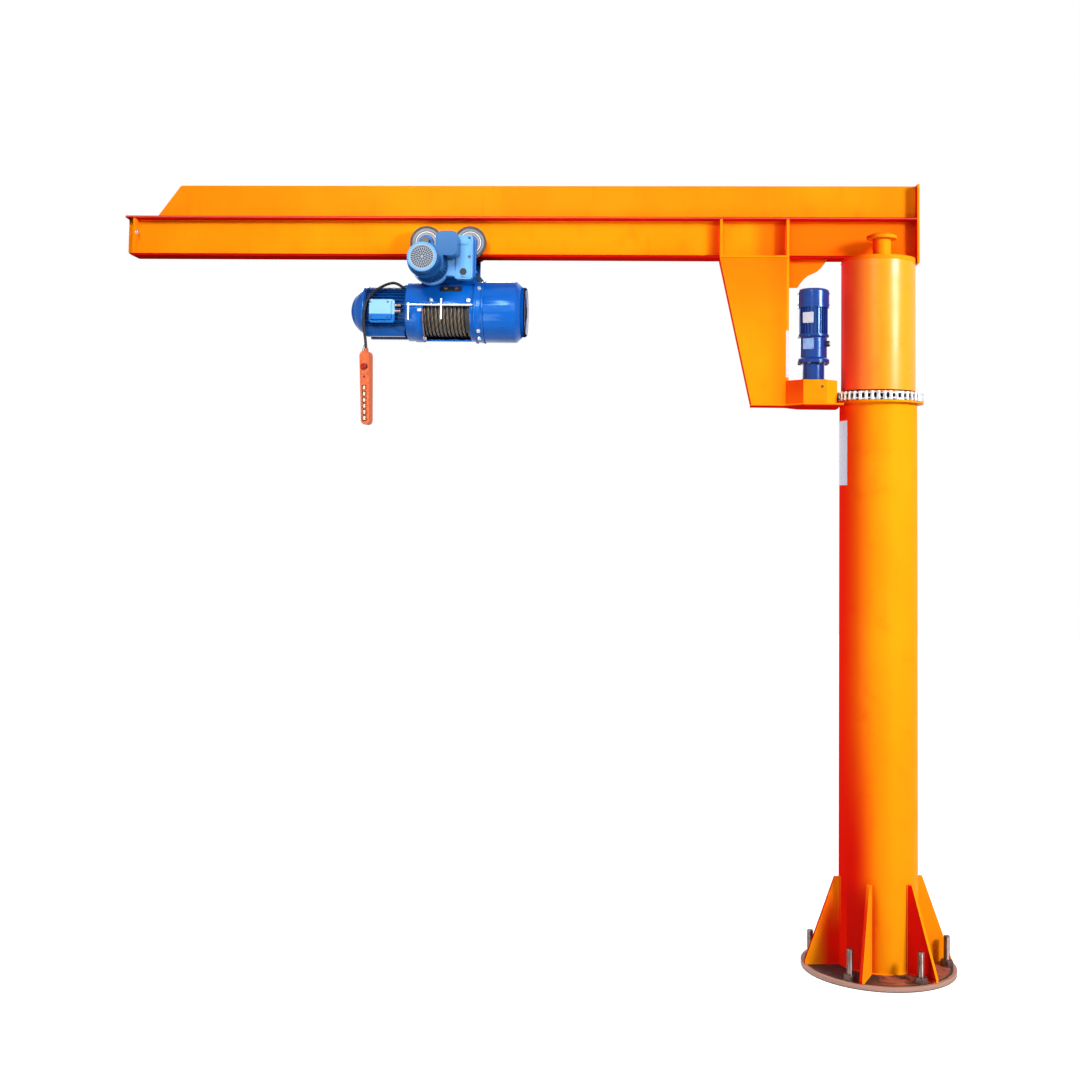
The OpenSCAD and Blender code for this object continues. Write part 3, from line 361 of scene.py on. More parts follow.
@dataclass(frozen=True)
class Fastener:
    """Small forms that stand on Z = 0, made from one thread diameter."""

    thread: float

    def hexagon(self, height: float, dome: float = 0.0) -> Form:
        """A hexagon with a turned chamfer: the radius is the lesser of the hexagon's and the chamfer's.

        Args:
            height: height of the hexagon.
            dome: height of a round cap above it.

        Returns:
            The head or nut.
        """
        flat = 0.9 * self.thread
        a = np.linspace(0.0, 2.0 * np.pi, 24, endpoint=False)
        hexagon = flat / np.cos(np.mod(a, np.pi / 3) - np.pi / 6)
        rise = np.array([0.0, 0.0, 0.82, 1.0, 1.0]) * height
        limit = np.array([0.0, 2.0, 2.0, 0.98, 0.8]) * flat
        if dome:
            t = np.linspace(0.0, np.pi / 2, 6)
            rise = np.concatenate([rise, height + dome * np.sin(t)])
            limit = np.concatenate([limit, 0.78 * flat * np.cos(t)])
        else:
            rise = np.append(rise, height)
            limit = np.append(limit, 0.0)
        radius = np.minimum(hexagon[None], limit[:, None])
        points = np.stack([radius * np.cos(a), radius * np.sin(a),
                           np.broadcast_to(rise[:, None], radius.shape)], axis=-1)
        return grid(points)

    def washer(self) -> Form:
        """A flat washer with softened rims."""
        outer, t = 1.05 * self.thread, 0.14 * self.thread
        return lathe([(0.0, 0.0), (outer, 0.0), (outer, 0.7 * t), (outer - 0.3 * t, t), (0.0, t)], 28)

    def bolt(self) -> Form:
        """A hexagon head on its washer."""
        return self.washer() + self.hexagon(0.62 * self.thread).moved(z=0.14 * self.thread)

    def acorn(self) -> Form:
        """A domed nut on its washer."""
        dome = self.hexagon(0.6 * self.thread, 0.75 * self.thread)
        return self.washer() + dome.moved(z=0.14 * self.thread)

    def screw(self) -> Form:
        """A low round head with a socket: a turned profile that dips at its middle."""
        r, h = 0.8 * self.thread, 0.55 * self.thread
        return lathe([(0.0, 0.0), (r, 0.0), (r, 0.6 * h), (0.75 * r, h), (0.42 * r, h),
                      (0.38 * r, 0.45 * h), (0.0, 0.4 * h)], 20)

    def stud(self, length: float, pitch: float) -> Form:
        """A threaded rod: its radius falls with the distance from the crest of a helix.

        Args:
            length: length of the rod.
            pitch: pitch of the thread.

        Returns:
            The rod, closed at both ends.
        """
        a = np.linspace(0.0, 2.0 * np.pi, 18, endpoint=False)
        z = np.linspace(0.0, length, int(length / pitch * 5))[:, None]
        phase = np.mod(z / pitch - a / (2 * np.pi), 1.0)
        fade = np.clip((length - z) / (1.5 * pitch), 0.0, 1.0)
        radius = self.thread / 2 * (0.9 + 0.1 * np.abs(2 * phase - 1) * fade)
        points = np.stack([radius * np.cos(a), radius * np.sin(a),
                           np.broadcast_to(z, radius.shape)], axis=-1)
        return grid(points, capped=True)


def weld_bead(path: np.ndarray, radius: float, up: Sequence[float] = (0.0, 0.0, 1.0),
              closed: bool = False) -> Form:
    """A weld along a path: a round section whose radius swells at each ripple.

    Args:
        path: points (n, 3), close together.
        radius: mean radius of the bead.
        up: a vector that the path never runs along.
        closed: whether the path is a loop.

    Returns:
        The bead. Half of it lies in the plates that it joins.
    """
    steps = np.linalg.norm(np.diff(path, axis=0, prepend=path[:1]), axis=1)
    travelled = np.cumsum(steps)
    swell = 1 + 0.09 * np.abs(np.sin(np.pi * travelled / (1.6 * radius)))
    section = circle(1.0, 8)[None] * (radius * swell)[:, None, None]
    return sweep(path, section, up, closed)


def line(start: Sequence[float], end: Sequence[float], step: float) -> np.ndarray:
    """Points from start to end, about one step apart.

    Args:
        start: the first point.
        end: the last point.
        step: the distance between points, roughly.

    Returns:
        Points of shape (n, 3).
    """
    a, b = np.asarray(start, float), np.asarray(end, float)
    count = max(2, int(np.linalg.norm(b - a) / step) + 1)
    return a + (b - a) * np.linspace(0.0, 1.0, count)[:, None]


def loop(centre: Sequence[float], radius: float, step: float, axis: Axis = Axis.UP) -> np.ndarray:
    """Points round a circle, about one step apart."""
    return ring_places(centre, radius, max(24, int(2 * math.pi * radius / step)), axis)


# ---------------------------------------------------------------- materials


class Shader:
    """Builds the nodes of one material on Object coordinates."""

    def __init__(self, name: str) -> None:
        """Starts a material that holds a Principled BSDF.

        Args:
            name: the material's name.
        """
        self.material = bpy.data.materials.new(name)
        self.material.use_nodes = True
        self.tree = self.material.node_tree
        self.surface = self.tree.nodes["Principled BSDF"]
        source = self.tree.nodes.new("ShaderNodeTexCoord")
        self.place, self.normal = source.outputs["Object"], source.outputs["Normal"]

    def node(self, kind: str, **settings: object) -> bpy.types.Node:
        """Adds a node and sets its properties.

        Args:
            kind: Blender's name for the node's type.
            **settings: its properties.

        Returns:
            The new node.
        """
        made = self.tree.nodes.new(kind)
        for key, value in settings.items():
            setattr(made, key, value)
        return made

    def put(self, socket: bpy.types.NodeSocket, value: object) -> None:
        """Links a socket to an output, or sets its value.

        Args:
            socket: an input socket.
            value: an output socket, or a plain value.
        """
        if isinstance(value, bpy.types.NodeSocket):
            self.tree.links.new(value, socket)
        else:
            socket.default_value = value

    def stretched(self, scale: Sequence[float]) -> bpy.types.NodeSocket:
        """Scales the Object coordinates along each axis.

        Args:
            scale: the factors for X, Y and Z.

        Returns:
            The scaled coordinates.
        """
        made = self.node("ShaderNodeMapping")
        self.put(made.inputs["Vector"], self.place)
        made.inputs["Scale"].default_value = scale
        return made.outputs["Vector"]

    def noise(self, scale: float, detail: float = 3.0, rough: float = 0.55,
              vector: bpy.types.NodeSocket | None = None, warp: float = 0.0) -> bpy.types.NodeSocket:
        """Adds a noise pattern.

        Args:
            scale: how often it repeats in a metre.
            detail: number of finer layers.
            rough: strength of the finer layers.
            vector: its coordinates, or None for Object coordinates.
            warp: how far it is bent.

        Returns:
            A value from 0 to 1.
        """
        made = self.node("ShaderNodeTexNoise")
        self.put(made.inputs["Vector"], vector or self.place)
        made.inputs["Scale"].default_value = scale
        made.inputs["Detail"].default_value = detail
        made.inputs["Roughness"].default_value = rough
        made.inputs["Distortion"].default_value = warp
        return made.outputs["Fac"]

    def math(self, operation: str, *values: object, clamp: bool = False) -> bpy.types.NodeSocket:
        """Does arithmetic on sockets and numbers.

        Args:
            operation: Blender's name for the operation.
            *values: one or two sockets or numbers.
            clamp: keeps the result between 0 and 1.

        Returns:
            The result.
        """
        made = self.node("ShaderNodeMath", operation=operation, use_clamp=clamp)
        for socket, value in zip(made.inputs, values):
            self.put(socket, value)
        return made.outputs[0]

    def length(self, first: bpy.types.NodeSocket, second: bpy.types.NodeSocket) -> bpy.types.NodeSocket:
        """The square root of the sum of two squares."""
        squares = [self.math("MULTIPLY", value, value) for value in (first, second)]
        return self.math("SQRT", self.math("ADD", *squares))

    def span(self, value: bpy.types.NodeSocket, low: float, high: float, to_low: float = 0.0,
             to_high: float = 1.0) -> bpy.types.NodeSocket:
        """Maps a value smoothly from one span to another.

        Args:
            value: the value.
            low: where the first span starts.
            high: where it ends.
            to_low: the result at its start and before it.
            to_high: the result at its end and beyond it.

        Returns:
            The mapped value.
        """
        made = self.node("ShaderNodeMapRange", interpolation_type="SMOOTHSTEP")
        self.put(made.inputs["Value"], value)
        ends = {"From Min": low, "From Max": high, "To Min": to_low, "To Max": to_high}
        for name, number in ends.items():
            made.inputs[name].default_value = number
        return made.outputs["Result"]

    def blend(self, factor: object, first: object, second: object) -> bpy.types.NodeSocket:
        """Mixes two colours.

        Args:
            factor: 0 for the first colour and 1 for the second.
            first: a colour or a socket.
            second: a colour or a socket.

        Returns:
            The mixed colour.
        """
        made = self.node("ShaderNodeMix", data_type="RGBA")
        self.put(made.inputs["Factor"], factor)
        for socket, value in ((made.inputs[6], first), (made.inputs[7], second)):
            self.put(socket, (*value, 1.0) if isinstance(value, tuple) else value)
        return made.outputs[2]

    def split(self, vector: bpy.types.NodeSocket | None = None) -> list[bpy.types.NodeSocket]:
        """Splits a vector.

        Args:
            vector: the vector, or None for the Object coordinates.

        Returns:
            Its X, Y and Z.
        """
        made = self.node("ShaderNodeSeparateXYZ")
        self.put(made.inputs[0], vector or self.place)
        return list(made.outputs)

    def bump(self, height: bpy.types.NodeSocket, strength: float, depth: float) -> None:
        """Adds a bump to the surface, over any that is there.

        Args:
            height: the pattern that raises the surface.
            strength: how much of it shows, from 0 to 1.
            depth: height of the pattern, in metres.
        """
        made = self.node("ShaderNodeBump")
        made.inputs["Strength"].default_value = strength
        made.inputs["Distance"].default_value = depth
        self.put(made.inputs["Height"], height)
        normal = self.surface.inputs["Normal"]
        if normal.links:
            self.put(made.inputs["Normal"], normal.links[0].from_socket)
        self.put(normal, made.outputs["Normal"])

    def shade(self, **sockets: object) -> None:
        """Sets or links sockets of the surface.

        Args:
            **sockets: values by the sockets' names, with _ for a space.
        """
        for name, value in sockets.items():
            socket = self.surface.inputs[name.replace("_", " ")]
            colour = isinstance(value, tuple) and len(value) == 3
            self.put(socket, (*value, 1.0) if colour else value)


Colour = tuple[float, float, float]
Span = tuple[float, float]


@dataclass(frozen=True)
class Marks:
    """Changes of a paint's colour by place. Each kind holds the marks of one sort of part."""

    def over(self, s: Shader, tone: bpy.types.NodeSocket) -> bpy.types.NodeSocket:
        """Paints the marks over a tone.

        Args:
            s: the shader that is being built.
            tone: the colour so far.

        Returns:
            The colour with the marks.
        """
        raise NotImplementedError


@dataclass(frozen=True)
class Paint:
    """Sprayed enamel: slow tone changes, faint runs, orange peel, dust in the speckle, and optional painted
    side light.
    """

    name: str
    colour: Colour
    deep: Colour
    light: Colour
    roughness: float = 0.34
    peel: float = 0.0006
    dirt: float = 0.12
    gloss: float = 0.02
    coat: float = 0.0
    tint: Colour = (1.0, 0.55, 0.22)
    # Paints light and shade by the surface's direction: amber where it faces +X, deep red where it faces -X.
    painted_side_light: bool = False
    dull_ends: bool = False
    marks: Marks | None = None

    def material(self) -> bpy.types.Material:
        """Builds the material and returns it."""
        s = Shader(self.name)
        slow = s.noise(1.7, 3.0)
        cloud = s.noise(9.0, 4.0, 0.6)
        runs = s.noise(6.0, 3.0, 0.6, s.stretched((7.0, 7.0, 0.5)))
        speckle = s.noise(260.0, 2.0, 0.7)
        tone = s.blend(s.span(slow, 0.35, 0.75, 0.0, 0.55), self.colour, self.light)
        tone = s.blend(s.span(cloud, 0.5, 0.85, 0.0, 0.35), tone, self.deep)
        tone = s.blend(s.span(runs, 0.55, 0.8, 0.0, 0.22), tone, self.deep)
        rough = s.span(cloud, 0.2, 0.8, self.roughness - 0.06, self.roughness + 0.1)
        across = s.split(s.normal)[0]
        if self.dull_ends:
            rough = s.math("MAXIMUM", rough, s.span(s.math("ABSOLUTE", across), 0.6, 0.95, 0.0, 0.95))
        # Painted light and shade: amber on faces turned to +X, red on faces turned to -X, and rougher on the
        # -X side.
        if self.painted_side_light:
            tone = s.blend(s.span(across, -0.2, 0.35, 0.0, 0.4), tone, ORANGE_PAINTED_LIT)
            tone = s.blend(s.span(across, -0.12, -1.0), tone, ORANGE_PAINTED_SHADE)
            rough = s.math("MAXIMUM", rough, s.span(across, -0.3, -0.85, 0.0, 0.95))
        if self.marks:
            tone = self.marks.over(s, tone)
        grime = s.math("MULTIPLY", s.span(speckle, 0.62, 0.8), s.span(cloud, 0.35, 0.65))
        grime = s.math("MULTIPLY", grime, self.dirt * 3.0)
        tone = s.blend(grime, tone, tuple(0.25 * c for c in self.deep))
        s.shade(Base_Color=tone, Roughness=rough)
        s.shade(Coat_Weight=self.coat, Coat_Roughness=0.16, IOR=1.45, Specular_IOR_Level=self.gloss,
                Specular_Tint=self.tint)
        s.bump(s.noise(420.0, 2.0, 0.5), 0.25, self.peel)
        s.bump(cloud, 0.1, 0.002)
        return s.material


@dataclass(frozen=True)
class Steel:
    """Bare or plated steel with fine scratches, stains and an uneven shine."""

    name: str
    colour: Colour
    stain: Colour
    roughness: float = 0.32
    metallic: float = 1.0
    stained: float = 0.35
    grain: tuple[float, float, float] = (30.0, 30.0, 200.0)

    def material(self) -> bpy.types.Material:
        """Builds the material and returns it."""
        s = Shader(self.name)
        cloud = s.noise(22.0, 4.0, 0.6)
        fine = s.noise(3.0, 4.0, 0.7, s.stretched(self.grain))
        tone = s.blend(s.span(cloud, 0.42, 0.75, 0.0, self.stained), self.colour, self.stain)
        tone = s.blend(s.span(fine, 0.4, 0.8, 0.0, 0.3), tone, tuple(0.6 * c for c in self.colour))
        s.shade(Base_Color=tone, Metallic=self.metallic)
        s.shade(Roughness=s.span(fine, 0.25, 0.8, self.roughness - 0.08, self.roughness + 0.14))
        s.bump(fine, 0.15, 0.0004)
        s.bump(cloud, 0.12, 0.001)
        return s.material


@dataclass(frozen=True)
class RingedSteel:
    """A turned wheel by radius: black rim; painted light and shade as a light ring, dark groove and bright
    hub.
    """

    name: str
    centre: Span
    lit_and_shaded_rings: tuple[Span, ...] = ((0.0520, 0.03), (0.0480, 0.75), (0.0440, 0.03), (0.0415, 0.26),
                                    (0.0330, 0.06))
    rim: Span = (0.0610, 0.0620)

    def material(self) -> bpy.types.Material:
        """Builds the material and returns it."""
        s = Shader(self.name)
        x, _, z = s.split()
        radius = s.length(s.math("SUBTRACT", x, self.centre[0]), s.math("SUBTRACT", z, self.centre[1]))
        cloud = s.noise(40.0, 4.0, 0.6)
        turned = s.node("ShaderNodeTexNoise", noise_dimensions="1D")
        s.put(turned.inputs["W"], radius)
        turned.inputs["Scale"].default_value = 900.0
        tone = s.blend(s.span(cloud, 0.4, 0.75, 0.0, 0.5), (0.22, 0.235, 0.26), (0.11, 0.11, 0.12))
        # Rings of painted light and shade for the steps of the wheel's face.
        for edge, shade in self.lit_and_shaded_rings:
            tone = s.blend(s.math("LESS_THAN", radius, edge), tone, (shade, shade, 1.05 * shade))
        tone = s.blend(s.span(radius, *self.rim), tone, (0.008, 0.006, 0.008))
        s.shade(Base_Color=tone, Metallic=0.0, Specular_IOR_Level=0.25)
        s.shade(Roughness=s.span(turned.outputs["Fac"], 0.3, 0.7, 0.28, 0.44))
        s.bump(turned.outputs["Fac"], 0.15, 0.0004)
        return s.material


@dataclass(frozen=True)
class Moulded:
    """Moulded plastic or rubber with a fine grain and handling marks."""

    name: str
    colour: Colour
    worn: Colour
    roughness: float = 0.5
    grain: float = 700.0
    gloss: float = 0.2

    def material(self) -> bpy.types.Material:
        """Builds the material and returns it."""
        s = Shader(self.name)
        cloud = s.noise(38.0, 3.0, 0.6)
        fine = s.noise(self.grain, 2.0, 0.6)
        tone = s.blend(s.span(cloud, 0.4, 0.75, 0.0, 0.5), self.colour, self.worn)
        tone = s.blend(s.span(fine, 0.55, 0.85, 0.0, 0.2), tone, tuple(0.7 * c for c in self.colour))
        s.shade(Base_Color=tone, Specular_IOR_Level=self.gloss)
        s.shade(Roughness=s.span(cloud, 0.2, 0.8, self.roughness - 0.08, self.roughness + 0.12))
        s.bump(fine, 0.3, 0.0003)
        return s.material


@dataclass(frozen=True)
class RustyPlate:
    """Heavy plate with patchy rust and old paint, painted shade on its -X side, and darker towards its
    bottom.
    """

    name: str
    rust: Colour
    dark: Colour
    pale: Colour
    rim: float
    shade_side: Span = (0.03, -0.07)
    line: Span = (0.016, 0.012)
    pale_rim: float = 0.004
    foot: Span = (0.0045, 0.0025)

    def material(self) -> bpy.types.Material:
        """Builds the material and returns it."""
        s = Shader(self.name)
        x, y, z = s.split()
        radius = s.length(x, y)
        patch = s.noise(11.0, 5.0, 0.65, warp=0.8)
        fine = s.noise(90.0, 4.0, 0.7)
        tone = s.blend(s.span(patch, 0.38, 0.6), self.dark, self.rust)
        tone = s.blend(s.span(fine, 0.52, 0.75, 0.0, 0.7), tone, self.pale)
        # Painted shade on the plate's -X side.
        tone = s.blend(s.span(x, *self.shade_side, 0.0, 0.85), tone, self.dark)
        worn = s.math("ADD", radius, s.math("MULTIPLY", patch, 0.012))
        tone = s.blend(s.span(worn, self.rim - self.line[0], self.rim - self.line[1]), tone, self.dark)
        tone = s.blend(s.span(worn, self.rim - self.pale_rim, self.rim), tone, self.pale)
        tone = s.blend(s.span(z, *self.foot), tone, self.dark)
        s.shade(Base_Color=tone, Metallic=0.0, Roughness=s.span(patch, 0.3, 0.7, 0.85, 0.5))
        s.bump(fine, 0.5, 0.0015)
        s.bump(patch, 0.4, 0.003)
        return s.material


@dataclass(frozen=True)
class GreasedRope:
    """Wire rope under grease: steel on the strands' crests, brown-black in between.

    The crests come from the piece's own attribute "crest".
    """

    name: str
    steel: Colour
    grease: Colour

    def material(self) -> bpy.types.Material:
        """Builds the material and returns it."""
        s = Shader(self.name)
        cloud = s.noise(30.0, 4.0, 0.6)
        fine = s.noise(900.0, 2.0, 0.7)
        crest = s.node("ShaderNodeAttribute", attribute_name="crest").outputs["Fac"]
        shine = s.math("MULTIPLY", s.span(crest, 0.45, 0.95), s.span(cloud, 0.3, 0.7, 0.65, 1.0))
        tone = s.blend(shine, self.grease, self.steel)
        s.shade(Base_Color=tone, Metallic=s.span(crest, 0.4, 0.9, 0.0, 0.25))
        s.shade(Roughness=s.span(cloud, 0.2, 0.8, 0.32, 0.5))
        s.bump(fine, 0.4, 0.0004)
        return s.material


@dataclass(frozen=True)
class BeamShadeMarks(Marks):
    """Painted shade in deeper red on the beam's flange edges, underside and web, and beside its stiffeners.
    """

    flange_edge_shade_red: Colour = (0.40, 0.004, 0.003)
    flange_edge_half_shade_red: Colour = (0.72, 0.10, 0.07)
    web_shade_red: Colour = (0.95, 0.150, 0.003)
    stiffener_shadow_red: Colour = (0.75, 0.035, 0.003)
    ceiling_shade_red: Colour = (0.60, 0.010, 0.004)
    underside_shade_red: Colour = (0.80, 0.010, 0.004)
    bracket_x: Span = (-0.680, -0.384)
    web_x: Span = (-0.56, -0.48)
    joints_x: tuple[float, ...] = (-0.680, -0.396, 0.157)
    joint_fade: Span = (0.055, 0.012)
    joint_share: float = 0.85
    web_half: float = 0.02
    line_half: float = 0.0019
    skin: float = 0.0012
    margin: float = 0.0005

    def over(self, s: Shader, tone: bpy.types.NodeSocket) -> bpy.types.NodeSocket:
        """Paints the marks over a tone.

        Args:
            s: the shader that is being built.
            tone: the colour so far.

        Returns:
            The colour with the marks.
        """
        x, y, z = s.split()
        plan = Plan.current()
        top = s.math("GREATER_THAN", z, plan.beam_top - plan.flange - self.margin)
        low = s.math("LESS_THAN", z, plan.beam_z + plan.flange + self.margin)
        rim = s.math("GREATER_THAN", s.math("ABSOLUTE", y), plan.half_width - self.skin)
        start, end = self.bracket_x
        bracket = s.math("MULTIPLY", s.math("GREATER_THAN", x, start), s.math("LESS_THAN", x, end))
        low = s.math("MULTIPLY", low, s.math("SUBTRACT", 1.0, bracket))
        # Painted shade on the flange edges, except the bottom flange's edge over the bracket.
        band = s.math("MULTIPLY", s.math("MAXIMUM", top, low), rim)
        tone = s.blend(band, tone, self.flange_edge_shade_red)
        # A lighter line of painted shade along the middle of the top flange's edge.
        middle = s.math("SUBTRACT", z, plan.beam_top - plan.flange / 2)
        stripe = s.math("LESS_THAN", s.math("ABSOLUTE", middle), self.line_half)
        tone = s.blend(s.math("MULTIPLY", stripe, rim), tone, self.flange_edge_half_shade_red)
        web = s.math("LESS_THAN", s.math("ABSOLUTE", y), self.web_half)
        # Painted shade on the web towards the column.
        tone = s.blend(s.math("MULTIPLY", web, s.span(x, *self.web_x)), tone, self.web_shade_red)
        # Painted shadows on the web just to the -X side of each stiffener and of the rear plate.
        for edge in self.joints_x:
            fade = s.span(x, edge - self.joint_fade[0], edge - self.joint_fade[1])
            near = s.math("MULTIPLY", fade, s.math("LESS_THAN", x, edge))
            near = s.math("MULTIPLY", near, self.joint_share)
            tone = s.blend(s.math("MULTIPLY", web, near), tone, self.stiffener_shadow_red)
        # Painted shade under the top flange and on the beam's underside.
        below = s.math("SUBTRACT", z, plan.beam_top - plan.flange)
        ceiling = s.math("LESS_THAN", s.math("ABSOLUTE", below), self.skin)
        tone = s.blend(ceiling, tone, self.ceiling_shade_red)
        return s.blend(s.math("LESS_THAN", z, plan.beam_z + self.skin), tone, self.underside_shade_red)


@dataclass(frozen=True)
class UnderShadeMarks(Marks):
    """Painted shade: deep red on the underside and the lower rim of the bracket's bottom plate."""

    red: Colour = (0.85, 0.012, 0.004)
    depth: float = 0.004

    def over(self, s: Shader, tone: bpy.types.NodeSocket) -> bpy.types.NodeSocket:
        """Paints the marks over a tone.

        Args:
            s: the shader that is being built.
            tone: the colour so far.

        Returns:
            The colour with the marks.
        """
        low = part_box("bracket_bottom")[0].z
        # Painted shade on the bottom plate's lowest few millimetres.
        return s.blend(s.math("LESS_THAN", s.split()[2], low + self.depth), tone, self.red)


@dataclass(frozen=True)
class FootShadeMarks(Marks):
    """Painted shade: deep red low on the column's left side and on the roots of the left gussets."""

    side_shade_red: Colour = (0.80, 0.008, 0.003)
    low_shade_red: Colour = (0.62, 0.006, 0.003)
    root_shade_red: Colour = (0.80, 0.010, 0.003)
    side_turn: Span = (-0.05, -0.80)
    side_z: Span = (1.10, 0.45)
    low_turn: Span = (-0.05, -0.40)
    low_z: Span = (0.42, 0.26)
    root_radius: Span = (0.290, 0.205)
    root_x: float = -0.14
    root_z: Span = (0.46, 0.12)

    def over(self, s: Shader, tone: bpy.types.NodeSocket) -> bpy.types.NodeSocket:
        """Paints the marks over a tone.

        Args:
            s: the shader that is being built.
            tone: the colour so far.

        Returns:
            The colour with the marks.
        """
        x, y, z = s.split()
        across = s.split(s.normal)[0]
        # Painted shade on surfaces that face -X, deeper low down.
        left = s.math("MULTIPLY", s.span(across, *self.side_turn), s.span(z, *self.side_z))
        tone = s.blend(left, tone, self.side_shade_red)
        left = s.math("MULTIPLY", s.span(across, *self.low_turn), s.span(z, *self.low_z))
        tone = s.blend(left, tone, self.low_shade_red)
        # Painted shade on the gussets' roots on the -X side.
        radius = s.length(x, y)
        root = s.math("MULTIPLY", s.span(radius, *self.root_radius), s.math("LESS_THAN", x, self.root_x))
        root = s.math("MULTIPLY", root, s.span(z, *self.root_z))
        return s.blend(root, tone, self.root_shade_red)


@dataclass(frozen=True)
class BracketShadeMarks(Marks):
    """Painted shade: redder paint on the bracket's sides towards the top and towards the drive."""

    top_shade_red: Colour = (0.95, 0.135, 0.003)
    top_z: Span = (2.50, 3.0)
    top_share: float = 0.62
    drive_shade_red: Colour = (0.95, 0.10, 0.003)
    drive_x: Span = (-0.50, -0.40)
    drive_share: float = 0.35

    def over(self, s: Shader, tone: bpy.types.NodeSocket) -> bpy.types.NodeSocket:
        """Paints the marks over a tone.

        Args:
            s: the shader that is being built.
            tone: the colour so far.

        Returns:
            The colour with the marks.
        """
        x, _, z = s.split()
        # Painted shade towards the top and towards the drive.
        tone = s.blend(s.span(z, *self.top_z, 0.0, self.top_share), tone, self.top_shade_red)
        return s.blend(s.span(x, *self.drive_x, 0.0, self.drive_share), tone, self.drive_shade_red)


@dataclass(frozen=True)
class CapMarks(Marks):
    """A black rim, a worn silver ring and a dark middle on the gearbox cap, and its blue side."""

    axis_z: float = 2.732
    silver: Colour = (0.62, 0.63, 0.72)
    silver_radius: Span = (0.070, 0.082)
    black: Colour = (0.010, 0.010, 0.016)
    black_radius: Span = (0.0965, 0.0985)
    blue: Colour = (0.001, 0.060, 0.30)
    blue_x: float = -1.520

    def over(self, s: Shader, tone: bpy.types.NodeSocket) -> bpy.types.NodeSocket:
        """Paints the marks over a tone.

        Args:
            s: the shader that is being built.
            tone: the colour so far.

        Returns:
            The colour with the marks.
        """
        x, y, z = s.split()
        radius = s.length(y, s.math("SUBTRACT", z, self.axis_z))
        tone = s.blend(s.span(radius, *self.silver_radius), tone, self.silver)
        tone = s.blend(s.span(radius, *self.black_radius), tone, self.black)
        return s.blend(s.math("LESS_THAN", x, self.blue_x), tone, self.blue)


@dataclass(frozen=True)
class HangerShadeMarks(Marks):
    """Painted shade: a black inner end on the trolley's hanger."""

    black: Colour = (0.006, 0.007, 0.012)
    end_x: float = -1.728

    def over(self, s: Shader, tone: bpy.types.NodeSocket) -> bpy.types.NodeSocket:
        """Paints the marks over a tone.

        Args:
            s: the shader that is being built.
            tone: the colour so far.

        Returns:
            The colour with the marks.
        """
        # Painted shade: black beyond end_x.
        return s.blend(s.math("GREATER_THAN", s.split()[0], self.end_x), tone, self.black)


@dataclass(frozen=True)
class LidMarks(Marks):
    """A much paler upper part on the terminal box's lid."""

    pale: Colour = (0.24, 0.48, 0.68)
    face_y: float = -0.1185
    upper_z: Span = (2.703, 2.709)

    def over(self, s: Shader, tone: bpy.types.NodeSocket) -> bpy.types.NodeSocket:
        """Paints the marks over a tone.

        Args:
            s: the shader that is being built.
            tone: the colour so far.

        Returns:
            The colour with the marks.
        """
        _, y, z = s.split()
        lid = s.math("LESS_THAN", y, self.face_y)
        return s.blend(s.math("MULTIPLY", lid, s.span(z, *self.upper_z)), tone, self.pale)


SKY: Colour = (0.35, 0.66, 1.0)
ORANGE: Colour = (0.95, 0.240, 0.003)
ORANGE_DEEP: Colour = (0.82, 0.085, 0.003)
ORANGE_LIGHT: Colour = (1.0, 0.36, 0.006)
# Lit and shaded tones of the orange enamel, painted by the surface's direction.
ORANGE_PAINTED_LIT: Colour = (1.0, 0.43, 0.006)
ORANGE_PAINTED_SHADE: Colour = (0.85, 0.012, 0.003)

BASE_PLATE = RustyPlate("rusty_base_plate", (0.36, 0.09, 0.05), (0.020, 0.007, 0.006),
                        (0.46, 0.25, 0.19), 0.312)
COLUMN_ENAMEL = Paint("column_enamel", ORANGE, ORANGE_DEEP, ORANGE_LIGHT, 0.36, painted_side_light=True,
                      marks=FootShadeMarks())
JIB_ENAMEL = Paint("jib_enamel", (0.95, 0.200, 0.003), ORANGE_DEEP, ORANGE_LIGHT, 0.34, painted_side_light=True)
BRACKET_ENAMEL = Paint("bracket_enamel", ORANGE, ORANGE_DEEP, ORANGE_LIGHT, 0.34, gloss=0.0,
                       marks=BracketShadeMarks())
SLEEVE_ENAMEL = Paint("sleeve_enamel", ORANGE, ORANGE_DEEP, ORANGE_LIGHT, 0.30, gloss=0.45, painted_side_light=True,
                      tint=(1.0, 0.92, 0.85))
UNDER_ENAMEL = Paint("bracket_underside_shade_enamel", ORANGE, ORANGE_DEEP, ORANGE_LIGHT, 0.34, gloss=0.0,
                     marks=UnderShadeMarks())
BEAM_ENAMEL = Paint("beam_enamel_with_shade", ORANGE, ORANGE_DEEP, ORANGE_LIGHT, 0.34, gloss=0.0, marks=BeamShadeMarks())
DRIVE_ENAMEL = Paint("drive_enamel", (0.005, 0.026, 0.20), (0.002, 0.006, 0.06), (0.012, 0.05, 0.30), 0.16,
                     gloss=0.9, coat=0.04, tint=SKY)
HOIST_ENAMEL = Paint("hoist_enamel", (0.001, 0.082, 0.40), (0.001, 0.030, 0.18), (0.003, 0.13, 0.53), 0.20,
                     gloss=0.50, tint=SKY, dull_ends=True)
MOTOR_ENAMEL = Paint("motor_enamel", (0.001, 0.034, 0.17), (0.001, 0.012, 0.07), (0.002, 0.075, 0.30), 0.24,
                     gloss=0.30, tint=SKY, dull_ends=True)
TRAVEL_ENAMEL = Paint("travel_enamel", (0.008, 0.078, 0.26), (0.003, 0.024, 0.12), (0.035, 0.17, 0.44), 0.20,
                      gloss=0.45, coat=0.04, tint=SKY)
PALE_ENAMEL = Paint("pale_blue_enamel", (0.12, 0.34, 0.70), (0.04, 0.15, 0.44), (0.22, 0.48, 0.84), 0.28,
                    gloss=0.25, tint=SKY)
